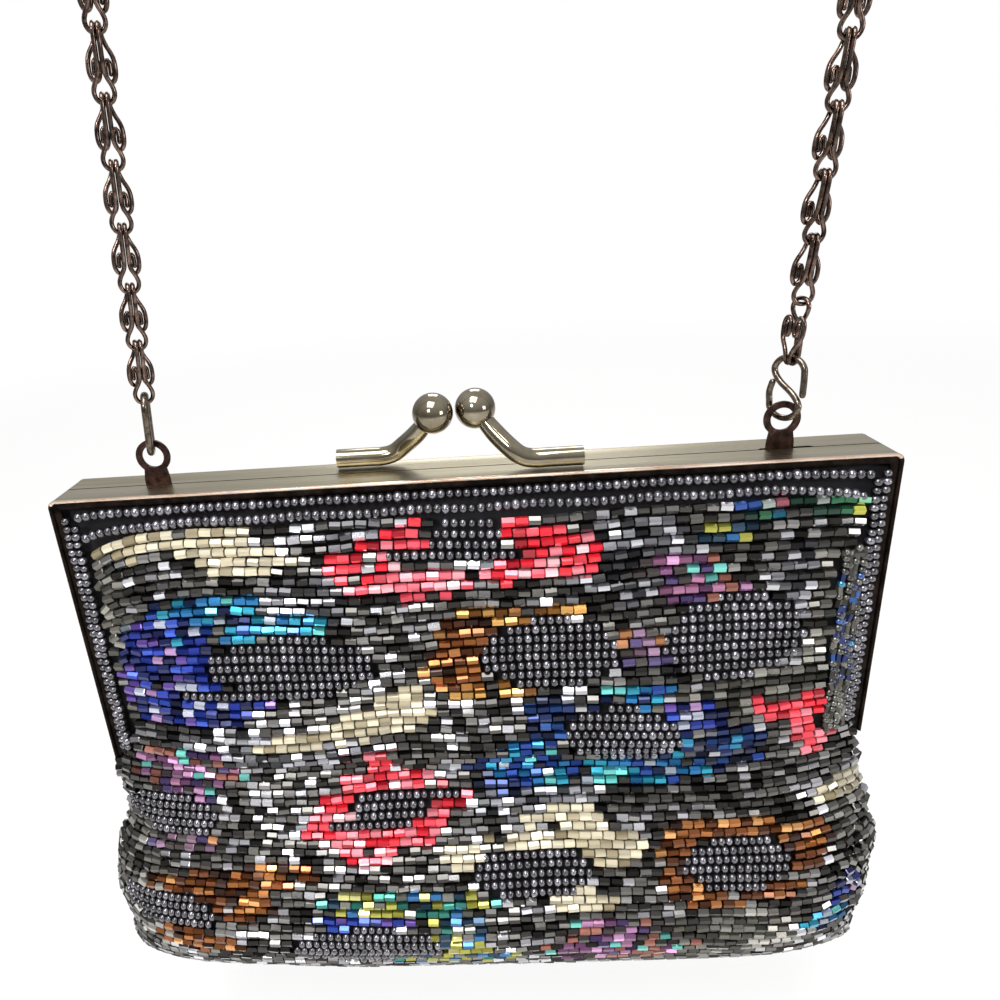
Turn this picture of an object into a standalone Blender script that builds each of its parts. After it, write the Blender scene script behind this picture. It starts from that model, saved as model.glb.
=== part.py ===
"""Beaded handbag on a hinged metal frame, with a wire link chain strap.

The bag hangs from its strap. The origin is the centre of the small ring at
the top of the strap, +Z is up and the front of the bag faces -Y. Lengths are
in metres.
"""

from math import asin, atan2, cos, hypot, pi, radians, sin

import bmesh
import bpy
from mathutils import Matrix, Vector

# Frame: two U shaped halves that meet at a seam in the plane y = 0
FRAME_WIDTH = 0.190
FRAME_DEPTH = 0.0154
ARM_LENGTH = 0.0724
PLATE_THICKNESS = 0.0010
SEAM_GAP = 0.0003
CORNER_RADIUS = 0.0020
LIP_HEIGHT = 0.0022
LIP_THICKNESS = 0.0010
RIM_STAND = 0.0003

# Hinge at the lower ends of the arms
HINGE_RISE = 0.0020
LUG_RADIUS = 0.0036
RIVET_RADIUS = 0.0011
RIVET_HEAD_RADIUS = 0.0021
RIVET_HEAD_THICKNESS = 0.0006
LUG_REACH = 0.0030

# Clasp: two ball ended rods that snap past each other
BALL_RADIUS = 0.0046
BALL_HEIGHT = 0.0134
BALL_GAP = 0.00035
BALL_CROSSING = 0.0011
CLASP_CENTRE = -0.0011
ROD_RADIUS = 0.0022
ROD_REST = 0.0120
ROD_RUN = 0.0115
ROD_RISE_RUN = 0.0042
ROD_RISE = 0.0058

# Strap eyes: flat sheet tabs that come up through the seam
EYE_INSET = 0.0236
EYE_HEIGHT = 0.0070
EYE_RADIUS = 0.0040
EYE_HOLE_RADIUS = 0.0023
TAB_THICKNESS = 0.0008
TAB_NECK_WIDTH = 0.0052
TAB_FOOT_WIDTH = 0.0060
TAB_FOOT_RISE = 0.0016

# Ring and S hook between the eyes and the strap
RING_WIRE_RADIUS = 0.00085
RING_LENGTH = 0.0133
RING_WIDTH = 0.0056
HOOK_WIRE_RADIUS = 0.00065
HOOK_BEND_RADIUS = 0.0030
HOOK_TURN = -58.0
HOOK_SLACK = 0.0010
HOOK_LINK_TURN = -4.0

# Strap chain
WIRE_RADIUS = 0.000475
LINK_PITCH = 0.0121
LOOP_RADIUS = 0.0020
KNUCKLE_RADIUS = 0.00135
KNUCKLE_LIFT = 0.00035
KNUCKLE_SPREAD = 0.00055
SCROLL_STEP = 0.00103
STRAND_LEAN = 0.077
STRAND_LINKS = 7
ARCH_LINKS = 9
JOIN_RING_RADIUS = 0.0032
JOIN_WIRE_RADIUS = 0.0006

# Beaded pouch and its lining
FABRIC_THICKNESS = 0.0020
LINING_THICKNESS = 0.0008
POUCH_DROP = 0.0756
POUCH_FLARE = 0.0138
POUCH_BULGE = 0.0150
SIDE_EDGE = 0.0010
FOLD_TOP = 0.0110
FOLD_BOTTOM = 0.0150
HINGE_CLEARANCE_RADIUS = 0.0072
RIB_PITCH = 0.0050
RIB_DEPTH = 0.0014

# Shared clearances
GAP = 0.0003
OVERRUN = 0.0020

# Rows of the pouch above the arm ends: height share, bulge share
UPPER_ROW_SHARES = ((0.00, 0.00), (0.05, 0.12), (0.14, 0.22), (0.38, 0.34), (0.68, 0.44), (0.93, 0.52))
# Rows below the arm ends: height share, bulge share, flare share, edge share
LOWER_ROW_SHARES = (
    (0.01, 0.54, 0.00, 1.00), (0.12, 0.64, 0.12, 0.55), (0.23, 0.74, 0.32, 0.25),
    (0.35, 0.84, 0.60, 0.10), (0.50, 0.96, 0.88, 0.02), (0.65, 1.00, 1.00, 0.00),
    (0.81, 0.90, 0.92, 0.00), (0.92, 0.64, 0.84, 0.00), (0.98, 0.32, 0.70, 0.00),
    (1.00, 0.06, 0.50, 0.00),
)
# One rib of bead rows: where its flat crest ends and where its groove is deepest
RIB_CREST_SHARE = 0.40
RIB_GROOVE_SHARE = 0.70
BULGE_POWER = 3.2
BULGE_EXPONENT = 0.62

# Mesh fineness
WIRE_SIDES_LEVEL = 0
RING_SIDES_LEVEL = 1
ROD_SIDES_LEVEL = 3
ROUND_STEPS = 18
ARC_STEPS = 5
POUCH_COLUMNS = 14

HALF_WIDTH = FRAME_WIDTH / 2
EYE_SPACING = FRAME_WIDTH - 2 * EYE_INSET
HALF_DEPTH = FRAME_DEPTH / 2
HALF_SEAM = SEAM_GAP / 2
POCKET = HALF_DEPTH - RIM_STAND - LIP_THICKNESS - GAP
INNER_HALF_WIDTH = HALF_WIDTH - PLATE_THICKNESS - GAP
TAB_FOOT_DEPTH = POCKET - FABRIC_THICKNESS - LINING_THICKNESS - 3 * GAP - TAB_THICKNESS / 2
RIM_CENTRE = EYE_HEIGHT + (EYE_RADIUS + EYE_HOLE_RADIUS) / 2
RIM_HALF = hypot((EYE_RADIUS - EYE_HOLE_RADIUS) / 2, TAB_THICKNESS / 2)
FRONT, BACK = -1, 1


def material(name, colour, metallic, roughness):
    """A Principled material with one colour."""
    made = bpy.data.materials.new(name)
    made.use_nodes = True
    shader = made.node_tree.nodes["Principled BSDF"]
    shader.inputs["Base Color"].default_value = (*colour, 1.0)
    shader.inputs["Metallic"].default_value = metallic
    shader.inputs["Roughness"].default_value = roughness
    return made


def clear_scene():
    """Remove the objects that the new file starts with."""
    for thing in list(bpy.data.objects):
        bpy.data.objects.remove(thing, do_unlink=True)


def new_collection(name):
    """A collection linked to the scene."""
    made = bpy.data.collections.new(name)
    bpy.context.scene.collection.children.link(made)
    return made


def mesh_object(name, bm, collection):
    """Turn a bmesh into an object in a collection."""
    mesh = bpy.data.meshes.new(name)
    bm.to_mesh(mesh)
    bm.free()
    made = bpy.data.objects.new(name, mesh)
    collection.objects.link(made)
    return made


def mesh_of_curve(curve_object, name, collection):
    """Replace a curve object by a closed mesh object in world place."""
    bpy.context.view_layer.update()
    evaluated = curve_object.evaluated_get(bpy.context.evaluated_depsgraph_get())
    mesh = bpy.data.meshes.new_from_object(evaluated)
    made = bpy.data.objects.new(name, mesh)
    made.matrix_world = curve_object.matrix_world.copy()
    collection.objects.link(made)
    bm = bmesh.new()
    bm.from_mesh(mesh)
    bmesh.ops.remove_doubles(bm, verts=bm.verts, dist=GAP / 100)
    bmesh.ops.recalc_face_normals(bm, faces=bm.faces)
    bm.to_mesh(mesh)
    bm.free()
    bpy.data.objects.remove(curve_object, do_unlink=True)
    return made


def wire(name, points, radius, level, collection, closed=False):
    """A round wire along points, as a closed mesh."""
    curve = bpy.data.curves.new(name + "_path", "CURVE")
    curve.dimensions = "3D"
    curve.bevel_depth = radius
    curve.bevel_resolution = level
    curve.use_fill_caps = True
    spline = curve.splines.new("POLY")
    spline.points.add(len(points) - 1)
    for slot, point in zip(spline.points, points):
        slot.co = (*point, 1.0)
    spline.use_cyclic_u = closed
    path = bpy.data.objects.new(name + "_path", curve)
    collection.objects.link(path)
    return mesh_of_curve(path, name, collection)


def flat_sheet(name, loops, low_y, high_y, collection):
    """A sheet with its outline in the XZ plane, between two values of y."""
    curve = bpy.data.curves.new(name + "_outline", "CURVE")
    curve.dimensions = "2D"
    curve.fill_mode = "BOTH"
    curve.extrude = (high_y - low_y) / 2
    for loop in loops:
        spline = curve.splines.new("POLY")
        spline.points.add(len(loop) - 1)
        for slot, (x, z) in zip(spline.points, loop):
            slot.co = (x, z, 0.0, 1.0)
        spline.use_cyclic_u = True
    outline = bpy.data.objects.new(name + "_outline", curve)
    outline.rotation_euler = (pi / 2, 0, 0)
    outline.location = (0, (low_y + high_y) / 2, 0)
    collection.objects.link(outline)
    made = mesh_of_curve(outline, name, collection)
    apply_place(made)
    return made


def apply_place(thing):
    """Move an object's place into its mesh."""
    bpy.context.view_layer.update()
    thing.data.transform(thing.matrix_world)
    thing.matrix_world = Matrix.Identity(4)


def box(name, low, high, collection):
    """A box between two corners."""
    bm = bmesh.new()
    bmesh.ops.create_cube(bm, size=1.0)
    size = [b - a for a, b in zip(low, high)]
    middle = [(a + b) / 2 for a, b in zip(low, high)]
    bmesh.ops.scale(bm, vec=size, verts=bm.verts)
    bmesh.ops.translate(bm, vec=middle, verts=bm.verts)
    return mesh_object(name, bm, collection)


def drum(name, radius, low_x, high_x, y, z, collection, steps=ROUND_STEPS):
    """A cylinder along X between two values of x."""
    bm = bmesh.new()
    bmesh.ops.create_cone(
        bm, cap_ends=True, segments=steps, radius1=radius, radius2=radius, depth=high_x - low_x)
    turn = Matrix.Rotation(pi / 2, 4, "Y")
    shift = Matrix.Translation(((low_x + high_x) / 2, y, z))
    bmesh.ops.transform(bm, matrix=shift @ turn, verts=bm.verts)
    return mesh_object(name, bm, collection)


def combine(target, other, operation):
    """Apply an exact Boolean of another object to the target."""
    modifier = target.modifiers.new(operation.lower(), "BOOLEAN")
    modifier.operation = operation
    modifier.solver = "EXACT"
    modifier.object = other
    bpy.context.view_layer.update()
    evaluated = target.evaluated_get(bpy.context.evaluated_depsgraph_get())
    result = bpy.data.meshes.new_from_object(evaluated)
    target.modifiers.remove(modifier)
    old = target.data
    target.data = result
    bpy.data.meshes.remove(old)
    bpy.data.objects.remove(other, do_unlink=True)


def arc(centre, radius, start, end, steps):
    """Points on an arc in a plane, both ends included, angles in degrees."""
    turns = [radians(start + (end - start) * i / steps) for i in range(steps + 1)]
    return [(centre[0] + radius * cos(t), centre[1] + radius * sin(t)) for t in turns]


def u_outline(outer_inset, inner_inset, foot):
    """A band that runs up one arm, along the top and down the other."""
    outer_x = HALF_WIDTH - outer_inset
    inner_x = HALF_WIDTH - inner_inset
    outer_r = CORNER_RADIUS - outer_inset
    outer = [(-outer_x, foot)]
    outer += arc((-outer_x + outer_r, -outer_inset - outer_r), outer_r, 180, 90, ARC_STEPS)
    outer += arc((outer_x - outer_r, -outer_inset - outer_r), outer_r, 90, 0, ARC_STEPS)
    outer += [(outer_x, foot)]
    inner = [(inner_x, foot), (inner_x, -inner_inset), (-inner_x, -inner_inset), (-inner_x, foot)]
    return [outer + inner]


def frame_half(name, side, parts):
    """One half of the frame: outer plate, inward lip, tab notches and hinge lugs."""
    hinge_z = HINGE_RISE - ARM_LENGTH
    near, far = sorted((side * HALF_SEAM, side * HALF_DEPTH))
    half = flat_sheet(name, u_outline(0, PLATE_THICKNESS, hinge_z), near, far, parts)
    for x in (-EYE_SPACING / 2, EYE_SPACING / 2):
        reach = TAB_FOOT_WIDTH / 2 + GAP
        depth = TAB_THICKNESS / 2 + GAP
        notch = box("notch", (x - reach, -depth, -PLATE_THICKNESS - OVERRUN),
                    (x + reach, depth, OVERRUN), parts)
        combine(half, notch, "DIFFERENCE")
    lip_out = HALF_DEPTH - RIM_STAND
    near, far = sorted((side * lip_out, side * (lip_out - LIP_THICKNESS)))
    inset = PLATE_THICKNESS / 3
    lip_loops = u_outline(inset, PLATE_THICKNESS + LIP_HEIGHT, -ARM_LENGTH)
    combine(half, flat_sheet(name + "_lip", lip_loops, near, far, parts), "UNION")
    for end in (-1, 1):
        (back_lug if side == BACK else front_lug)(half, end, hinge_z, parts)
    return half


def back_lug(half, end, hinge_z, parts):
    """The back arm's outer lug, a disc in line with the arm's plate."""
    low, high = sorted((end * (HALF_WIDTH - PLATE_THICKNESS), end * HALF_WIDTH))
    combine(half, drum("lug", LUG_RADIUS, low, high, 0, hinge_z, parts), "UNION")
    bore = drum("bore", RIVET_RADIUS + GAP, low - OVERRUN, high + OVERRUN, 0, hinge_z, parts)
    combine(half, bore, "DIFFERENCE")


def front_lug(half, end, hinge_z, parts):
    """The front arm's lug, joggled inward so that it passes behind the back one."""
    low, high = sorted((end * (HALF_WIDTH - PLATE_THICKNESS - GAP), end * (HALF_WIDTH + OVERRUN)))
    swing = LUG_RADIUS + 2 * GAP
    combine(half, drum("relief", swing, low, high, 0, hinge_z, parts), "DIFFERENCE")
    outer = HALF_WIDTH - PLATE_THICKNESS - GAP
    low, high = sorted((end * outer, end * (outer - PLATE_THICKNESS)))
    lug = drum("lug", LUG_RADIUS, low, high, 0, hinge_z, parts)
    front = -(HALF_DEPTH - RIM_STAND - LIP_THICKNESS / 2)
    web = box("web", (low, front, hinge_z - HINGE_RISE), (high, 0, hinge_z + LUG_REACH), parts)
    combine(lug, web, "UNION")
    combine(half, lug, "UNION")
    bore = drum("bore", RIVET_RADIUS + GAP, low - OVERRUN, high + OVERRUN, 0, hinge_z, parts)
    combine(half, bore, "DIFFERENCE")


def rivet(name, end, parts):
    """A turned hinge rivet with a head outside and a clinched tail inside."""
    outside = HALF_WIDTH + GAP
    inside = HALF_WIDTH - 2 * PLATE_THICKNESS - 2 * GAP
    profile = [
        (0, outside + RIVET_HEAD_THICKNESS),
        (RIVET_HEAD_RADIUS * 0.7, outside + RIVET_HEAD_THICKNESS * 0.85),
        (RIVET_HEAD_RADIUS, outside + RIVET_HEAD_THICKNESS * 0.25), (RIVET_HEAD_RADIUS, outside),
        (RIVET_RADIUS, outside), (RIVET_RADIUS, inside), (RIVET_HEAD_RADIUS * 0.8, inside),
        (RIVET_HEAD_RADIUS * 0.8, inside - RIVET_HEAD_THICKNESS / 2), (0, inside - RIVET_HEAD_THICKNESS),
    ]
    made = turned(name, profile, parts)
    turn = Matrix.Rotation(end * pi / 2, 4, "Y")
    made.data.transform(Matrix.Translation((0, 0, HINGE_RISE - ARM_LENGTH)) @ turn)
    return made


def turned(name, profile, parts):
    """A solid of revolution about Z from (radius, height) points, top to bottom."""
    mesh = bpy.data.meshes.new(name)
    edges = [(i, i + 1) for i in range(len(profile) - 1)]
    mesh.from_pydata([(r, 0, z) for r, z in profile], edges, [])
    made = bpy.data.objects.new(name, mesh)
    parts.objects.link(made)
    screw = made.modifiers.new("turn", "SCREW")
    screw.steps = ROUND_STEPS
    screw.render_steps = ROUND_STEPS
    screw.use_merge_vertices = True
    screw.merge_threshold = GAP / 100
    bpy.context.view_layer.update()
    evaluated = made.evaluated_get(bpy.context.evaluated_depsgraph_get())
    result = bpy.data.meshes.new_from_object(evaluated)
    made.modifiers.remove(screw)
    made.data = result
    bm = bmesh.new()
    bm.from_mesh(result)
    bmesh.ops.remove_doubles(bm, verts=bm.verts, dist=GAP / 100)
    bmesh.ops.recalc_face_normals(bm, faces=bm.faces)
    bm.to_mesh(result)
    bm.free()
    return made


def clasp_knob(name, side, parts):
    """A rod soldered along one plate that rises to a ball beyond the seam."""
    toward = 1 if side == BACK else -1
    plate_y = side * (HALF_DEPTH + HALF_SEAM) / 2
    ball_x = CLASP_CENTRE - toward * (BALL_RADIUS + BALL_GAP / 2)
    ball_y = -side * BALL_CROSSING
    rod_z = ROD_RADIUS + GAP
    bend_x = ball_x - toward * ROD_REST
    start_x = bend_x - toward * ROD_RUN
    rise_x = bend_x + toward * ROD_RISE_RUN
    points = [(start_x, plate_y, rod_z), (bend_x, plate_y, rod_z)]
    points += [(bend_x + toward * ROD_RISE_RUN * 0.5, plate_y, rod_z + ROD_RISE * 0.10)]
    points += [(rise_x, plate_y * 0.9, rod_z + ROD_RISE * 0.34)]
    middle = (rise_x + ball_x) / 2
    points += [(middle, (plate_y * 0.9 + ball_y) / 2, rod_z + ROD_RISE)]
    points += [(ball_x, ball_y, BALL_HEIGHT)]
    rod = wire(name, points, ROD_RADIUS, ROD_SIDES_LEVEL, parts)
    bm = bmesh.new()
    bmesh.ops.create_uvsphere(bm, u_segments=ROUND_STEPS, v_segments=ROUND_STEPS // 2, radius=BALL_RADIUS)
    bmesh.ops.translate(bm, vec=(ball_x, ball_y, BALL_HEIGHT), verts=bm.verts)
    combine(rod, mesh_object("ball", bm, parts), "UNION")
    return rod


def strap_eye(name, end, parts):
    """A sheet tab with a round eye above the seam and a foot turned under the back plate."""
    x = end * EYE_SPACING / 2
    neck = TAB_NECK_WIDTH / 2
    foot = TAB_FOOT_WIDTH / 2
    start = asin(neck / EYE_RADIUS)
    sweep = [start - pi / 2 + (2 * pi - 2 * start) * i / ROUND_STEPS for i in range(ROUND_STEPS + 1)]
    eye = [(x + EYE_RADIUS * cos(t), EYE_HEIGHT + EYE_RADIUS * sin(t)) for t in sweep]
    floor = -PLATE_THICKNESS - GAP - TAB_THICKNESS
    outer = [(x + foot, floor), (x + foot, TAB_FOOT_RISE), *eye, (x - foot, TAB_FOOT_RISE), (x - foot, floor)]
    hole = [
        (x + EYE_HOLE_RADIUS * cos(2 * pi * i / ROUND_STEPS),
         EYE_HEIGHT + EYE_HOLE_RADIUS * sin(2 * pi * i / ROUND_STEPS)) for i in range(ROUND_STEPS)]
    half = TAB_THICKNESS / 2
    tab = flat_sheet(name, [outer, hole], -half, half, parts)
    turned_foot = box("turned_foot", (x - foot, 0, floor),
                      (x + foot, TAB_FOOT_DEPTH, floor + TAB_THICKNESS), parts)
    combine(tab, turned_foot, "UNION")
    return tab


def strand_point(end, along):
    """The place on a strand at a distance from the swing axis of its eye."""
    slope = hypot(1, STRAND_LEAN)
    x = end * EYE_SPACING / 2 + along * STRAND_LEAN / slope
    return Vector((x, 0, RIM_CENTRE + along / slope))


RING_BOTTOM = -(RIM_HALF + GAP + RING_WIRE_RADIUS)
RING_TOP = RING_BOTTOM + RING_LENGTH
FIRST_LEVEL = RING_TOP - RING_WIRE_RADIUS - GAP - WIRE_RADIUS
HOOK_BOTTOM = -(RIM_HALF + GAP + HOOK_SLACK + HOOK_WIRE_RADIUS)
LOOP_STEP = 2 * WIRE_RADIUS + GAP
HOOK_TOP = FIRST_LEVEL + LOOP_STEP - KNUCKLE_LIFT


def level_along(level):
    """The distance along a strand of the loop that starts a link."""
    return FIRST_LEVEL + level * LINK_PITCH


def strand_matrix(end, along, turn):
    """Local axes on a strand: x across, y back, z up along the strand."""
    lean = Matrix.Rotation(atan2(STRAND_LEAN, 1), 4, "Y")
    place = Matrix.Translation(strand_point(end, along))
    return place @ lean @ Matrix.Rotation(turn, 4, "Z")


def jump_ring(name, parts):
    """The oval ring in the left eye, in a plane across the tab."""
    radius = RING_WIDTH / 2
    low = RING_BOTTOM + radius
    high = RING_TOP - radius
    loop = arc((0, low), radius, 180, 360, 2 * ARC_STEPS - 1)
    loop += arc((0, high), radius, 0, 180, 2 * ARC_STEPS - 1)
    points = [strand_matrix(-1, 0, 0) @ Vector((0, y, z)) for y, z in loop]
    return wire(name, points, RING_WIRE_RADIUS, RING_SIDES_LEVEL, parts, closed=True)


def s_hook(name, parts):
    """The open S hook in the right eye."""
    bend = HOOK_BEND_RADIUS
    low = HOOK_BOTTOM + bend
    high = HOOK_TOP - bend
    points = [(-bend * 1.15, low + bend * 1.2)]
    points += arc((0, low), bend, 180, 360, 2 * ARC_STEPS - 1)
    points += [(bend * 0.75, low + (high - low) * 0.36), (-bend * 0.75, low + (high - low) * 0.64)]
    points += arc((0, high), bend, 180, 0, 2 * ARC_STEPS - 1)
    points += [(bend * 1.15, high - bend * 1.5)]
    place = strand_matrix(1, 0, radians(HOOK_TURN))
    return wire(name, [place @ Vector((x, 0, z)) for x, z in points], HOOK_WIRE_RADIUS,
                RING_SIDES_LEVEL, parts)


def link_half():
    """Half of a link's wire, from the middle of its loop to the end of one scroll."""
    inner = KNUCKLE_SPREAD
    middle = inner + SCROLL_STEP
    outer = middle + SCROLL_STEP
    back = KNUCKLE_RADIUS
    crown = LINK_PITCH + KNUCKLE_LIFT
    slant = LOOP_RADIUS * 0.7071
    points = [(slant, 0, LOOP_RADIUS - slant), (LOOP_RADIUS, 0, LOOP_RADIUS)]
    points += [(inner, back * 0.85, LINK_PITCH * 0.60)]
    for turn in (0, 60, 120, 180):
        points += [(inner, back * cos(radians(turn)), crown + back * sin(radians(turn)))]
    low = LINK_PITCH * 0.38
    high = LINK_PITCH * 0.54
    bulb = (outer - inner) / 2
    points += [(outer - SCROLL_STEP / 4, -back, LINK_PITCH * 0.67)]
    points += [(outer, -back, low), (inner + bulb, -back, low - bulb), (inner, -back, low)]
    points += [(inner, -back, high), (middle, -back, high)]
    points += [(middle, -back, low + LINK_PITCH * 0.06)]
    return points


def chain_link(name, place, parts):
    """A link of one wire: a loop below, a knuckle above and a scroll on each side."""
    half = link_half()
    mirrored = [(-x, y, z) for x, y, z in reversed(half)]
    points = [place @ Vector(p) for p in mirrored + [(0, 0, 0)] + half]
    return wire(name, points, WIRE_RADIUS, WIRE_SIDES_LEVEL, parts)


def strand_turn(end, level):
    """How far a link is turned about its strand, in radians."""
    if end < 0:
        return radians(210 - 3 * level)
    if level == 0:
        return radians(HOOK_TURN + HOOK_LINK_TURN)
    return radians(171 + 9 * sin(0.8 * level))


def strand_links(parts):
    """The links of both strands, from the ring and the hook up to the arch."""
    made = []
    for end, word in ((-1, "left"), (1, "right")):
        for level in range(STRAND_LINKS):
            name = f"{word}_link_{level + 1}"
            turn = strand_turn(end, level)
            if end > 0 and level == 0:
                place = strand_matrix(end, level_along(1) + LOOP_STEP, turn) @ Matrix.Rotation(pi, 4, "Y")
            else:
                place = strand_matrix(end, level_along(level), turn)
            made.append(chain_link(name, place, parts))
    return made


def arch_point(turn, rise):
    """The arch of the strap, a half ellipse that leans as the strands do."""
    foot = strand_point(-1, level_along(STRAND_LINKS))
    centre_x = foot.x + EYE_SPACING / 2
    x = centre_x - EYE_SPACING / 2 * cos(turn) + STRAND_LEAN * rise * sin(turn)
    return Vector((x, 0, foot.z + rise * sin(turn)))


def next_turn(turn, rise, chord):
    """The parameter of the point that lies one chord further along the arch."""
    low, high = turn, turn + pi / 3
    for _ in range(50):
        middle = (low + high) / 2
        if (arch_point(middle, rise) - arch_point(turn, rise)).length < chord:
            low = middle
        else:
            high = middle
    return (low + high) / 2


def arch_turns(rise):
    """The parameters of the places where the links of the arch meet."""
    turns = [0.0]
    chords = [LINK_PITCH] * ARCH_LINKS + [2 * JOIN_RING_RADIUS] + [LINK_PITCH] * ARCH_LINKS
    for chord in chords:
        turns.append(next_turn(turns[-1], rise, chord))
    return turns


def fitted_rise():
    """The rise at which the links just reach from one strand to the other."""
    low, high = EYE_SPACING / 4, EYE_SPACING
    for _ in range(50):
        middle = (low + high) / 2
        if arch_turns(middle)[-1] > pi:
            low = middle
        else:
            high = middle
    return (low + high) / 2


def axes_from(start, end):
    """Local axes of a link that runs from start to end in the plane of the strap."""
    up = (end - start).normalized()
    back = Vector((0, -1, 0))
    across = back.cross(up)
    turn = Matrix((across, back, up)).transposed().to_4x4()
    return Matrix.Translation(start) @ turn


def arch_links(rise, parts):
    """The links of the arch, each with its knuckle towards the ring at the top."""
    places = [arch_point(turn, rise) for turn in arch_turns(rise)]
    made = []
    for i in range(ARCH_LINKS):
        left = axes_from(places[i], places[i + 1])
        right = axes_from(places[-1 - i], places[-2 - i])
        made.append(chain_link(f"arch_left_link_{i + 1}", left, parts))
        made.append(chain_link(f"arch_right_link_{i + 1}", right, parts))
    return made


def joining_ring(name, centre, parts):
    """The small round ring that joins the two lengths of chain."""
    circle = arc((centre.x, centre.z), JOIN_RING_RADIUS, 0, 360, ROUND_STEPS)[:-1]
    points = [(x, 0, z) for x, z in circle]
    return wire(name, points, JOIN_WIRE_RADIUS, RING_SIDES_LEVEL, parts, closed=True)


def pouch_sections(inset, top):
    """Half width, bulge depth, edge depth and height of each row, inset from the outside."""
    sections = []
    start = -PLATE_THICKNESS - GAP
    lip_foot = start - LIP_HEIGHT
    flat = LIP_HEIGHT + 2 * GAP
    sections.append([INNER_HALF_WIDTH, POCKET, POCKET, start, flat])
    for share, bulge in UPPER_ROW_SHARES:
        z = lip_foot - share * (ARM_LENGTH + lip_foot)
        sections.append([INNER_HALF_WIDTH, POCKET + bulge * POUCH_BULGE, POCKET, z, flat])
    for share, bulge, flare, edge in LOWER_ROW_SHARES:
        wide = INNER_HALF_WIDTH + flare * POUCH_FLARE
        deep = SIDE_EDGE + bulge * (POCKET + POUCH_BULGE)
        rim = SIDE_EDGE + edge * (POCKET - SIDE_EDGE)
        z = -ARM_LENGTH - share * (POUCH_DROP - inset)
        sections.append([wide, max(deep, rim), rim, z, flat * edge])
    rows = []
    for wide, deep, rim, z, level in sections:
        deep = max(deep - inset, SIDE_EDGE / 2)
        rim = min(max(rim - inset, SIDE_EDGE / 2), deep)
        rows.append([wide - inset, deep, rim, z, level])
    rows[0][3] = top
    return rows


def groove_at(drop):
    """How deep the grooves between the bead ribs are at a drop below the lip, from 0 to 1."""
    phase = (drop / RIB_PITCH) % 1.0
    if phase <= RIB_CREST_SHARE:
        return 0.0
    if phase <= RIB_GROOVE_SHARE:
        return (phase - RIB_CREST_SHARE) / (RIB_GROOVE_SHARE - RIB_CREST_SHARE)
    return (1.0 - phase) / (1.0 - RIB_GROOVE_SHARE)


def ribbed(rows):
    """The outside rows again, with ribs and grooves along them from the lip to the bottom curve."""
    lip_foot = rows[1][3]
    last = rows[-3][3]
    heights = [row[3] for row in rows]
    for step in range(int((lip_foot - last) / RIB_PITCH) + 1):
        for share in (0.0, RIB_CREST_SHARE, RIB_GROOVE_SHARE):
            z = lip_foot - (step + share) * RIB_PITCH
            near = min(abs(z - height) for height in heights)
            if z > last and near > GAP:
                heights.append(z)
    made = []
    for z in sorted(heights, reverse=True):
        below = next(i for i, row in enumerate(rows) if row[3] <= z)
        upper, lower = rows[max(below - 1, 0)], rows[below]
        share = (upper[3] - z) / (upper[3] - lower[3]) if upper[3] > lower[3] else 0.0
        row = [a + (b - a) * share for a, b in zip(upper, lower)]
        if lip_foot > z > last:
            row[1] = max(row[1] - RIB_DEPTH * groove_at(lip_foot - z), row[2])
        made.append(row)
    return made


def section_points(wide, deep, rim, z, level):
    """A closed row of the pouch: the front from left to right, then the back."""
    front = []
    for i in range(POUCH_COLUMNS + 1):
        x = -wide * cos(pi * i / POUCH_COLUMNS)
        reach = min(abs(x) / (wide - level), 1.0)
        swell = (1 - reach ** BULGE_POWER) ** BULGE_EXPONENT
        front.append((x, -(rim + (deep - rim) * swell), z))
    back = [(x, -y, z) for x, y, z in reversed(front)]
    return front + back


def pouch_solid(name, inset, top, parts):
    """A closed solid through the rows of the pouch."""
    bm = bmesh.new()
    rings = []
    rows = pouch_sections(inset, top)
    for row in ribbed(rows) if inset == 0 else rows:
        rings.append([bm.verts.new(p) for p in section_points(*row)])
    count = len(rings[0])
    for upper, lower in zip(rings, rings[1:]):
        for i in range(count):
            j = (i + 1) % count
            bm.faces.new((upper[i], upper[j], lower[j], lower[i]))
    bm.faces.new(rings[0])
    bm.faces.new(rings[-1])
    bmesh.ops.triangulate(bm, faces=[f for f in bm.faces if len(f.verts) == 4])
    bmesh.ops.recalc_face_normals(bm, faces=bm.faces)
    return mesh_object(name, bm, parts)


def pouch_piece(name, layer, low, high, parts):
    """The part of one fabric layer that lies inside a box."""
    outer_inset, inner_inset = layer
    piece = pouch_solid(name, outer_inset, -PLATE_THICKNESS - GAP, parts)
    combine(piece, pouch_solid("hollow", inner_inset, OVERRUN, parts), "DIFFERENCE")
    combine(piece, box("keep", low, high, parts), "INTERSECT")
    hinge_z = HINGE_RISE - ARM_LENGTH
    outer_x = HALF_WIDTH + OVERRUN
    inner_x = HALF_WIDTH - 2 * PLATE_THICKNESS - 3 * GAP - RIVET_HEAD_THICKNESS
    for end in (-1, 1):
        near, far = sorted((end * inner_x, end * outer_x))
        relief = drum("relief", HINGE_CLEARANCE_RADIUS, near, far, 0, hinge_z, parts)
        combine(piece, relief, "DIFFERENCE")
    return piece


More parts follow.
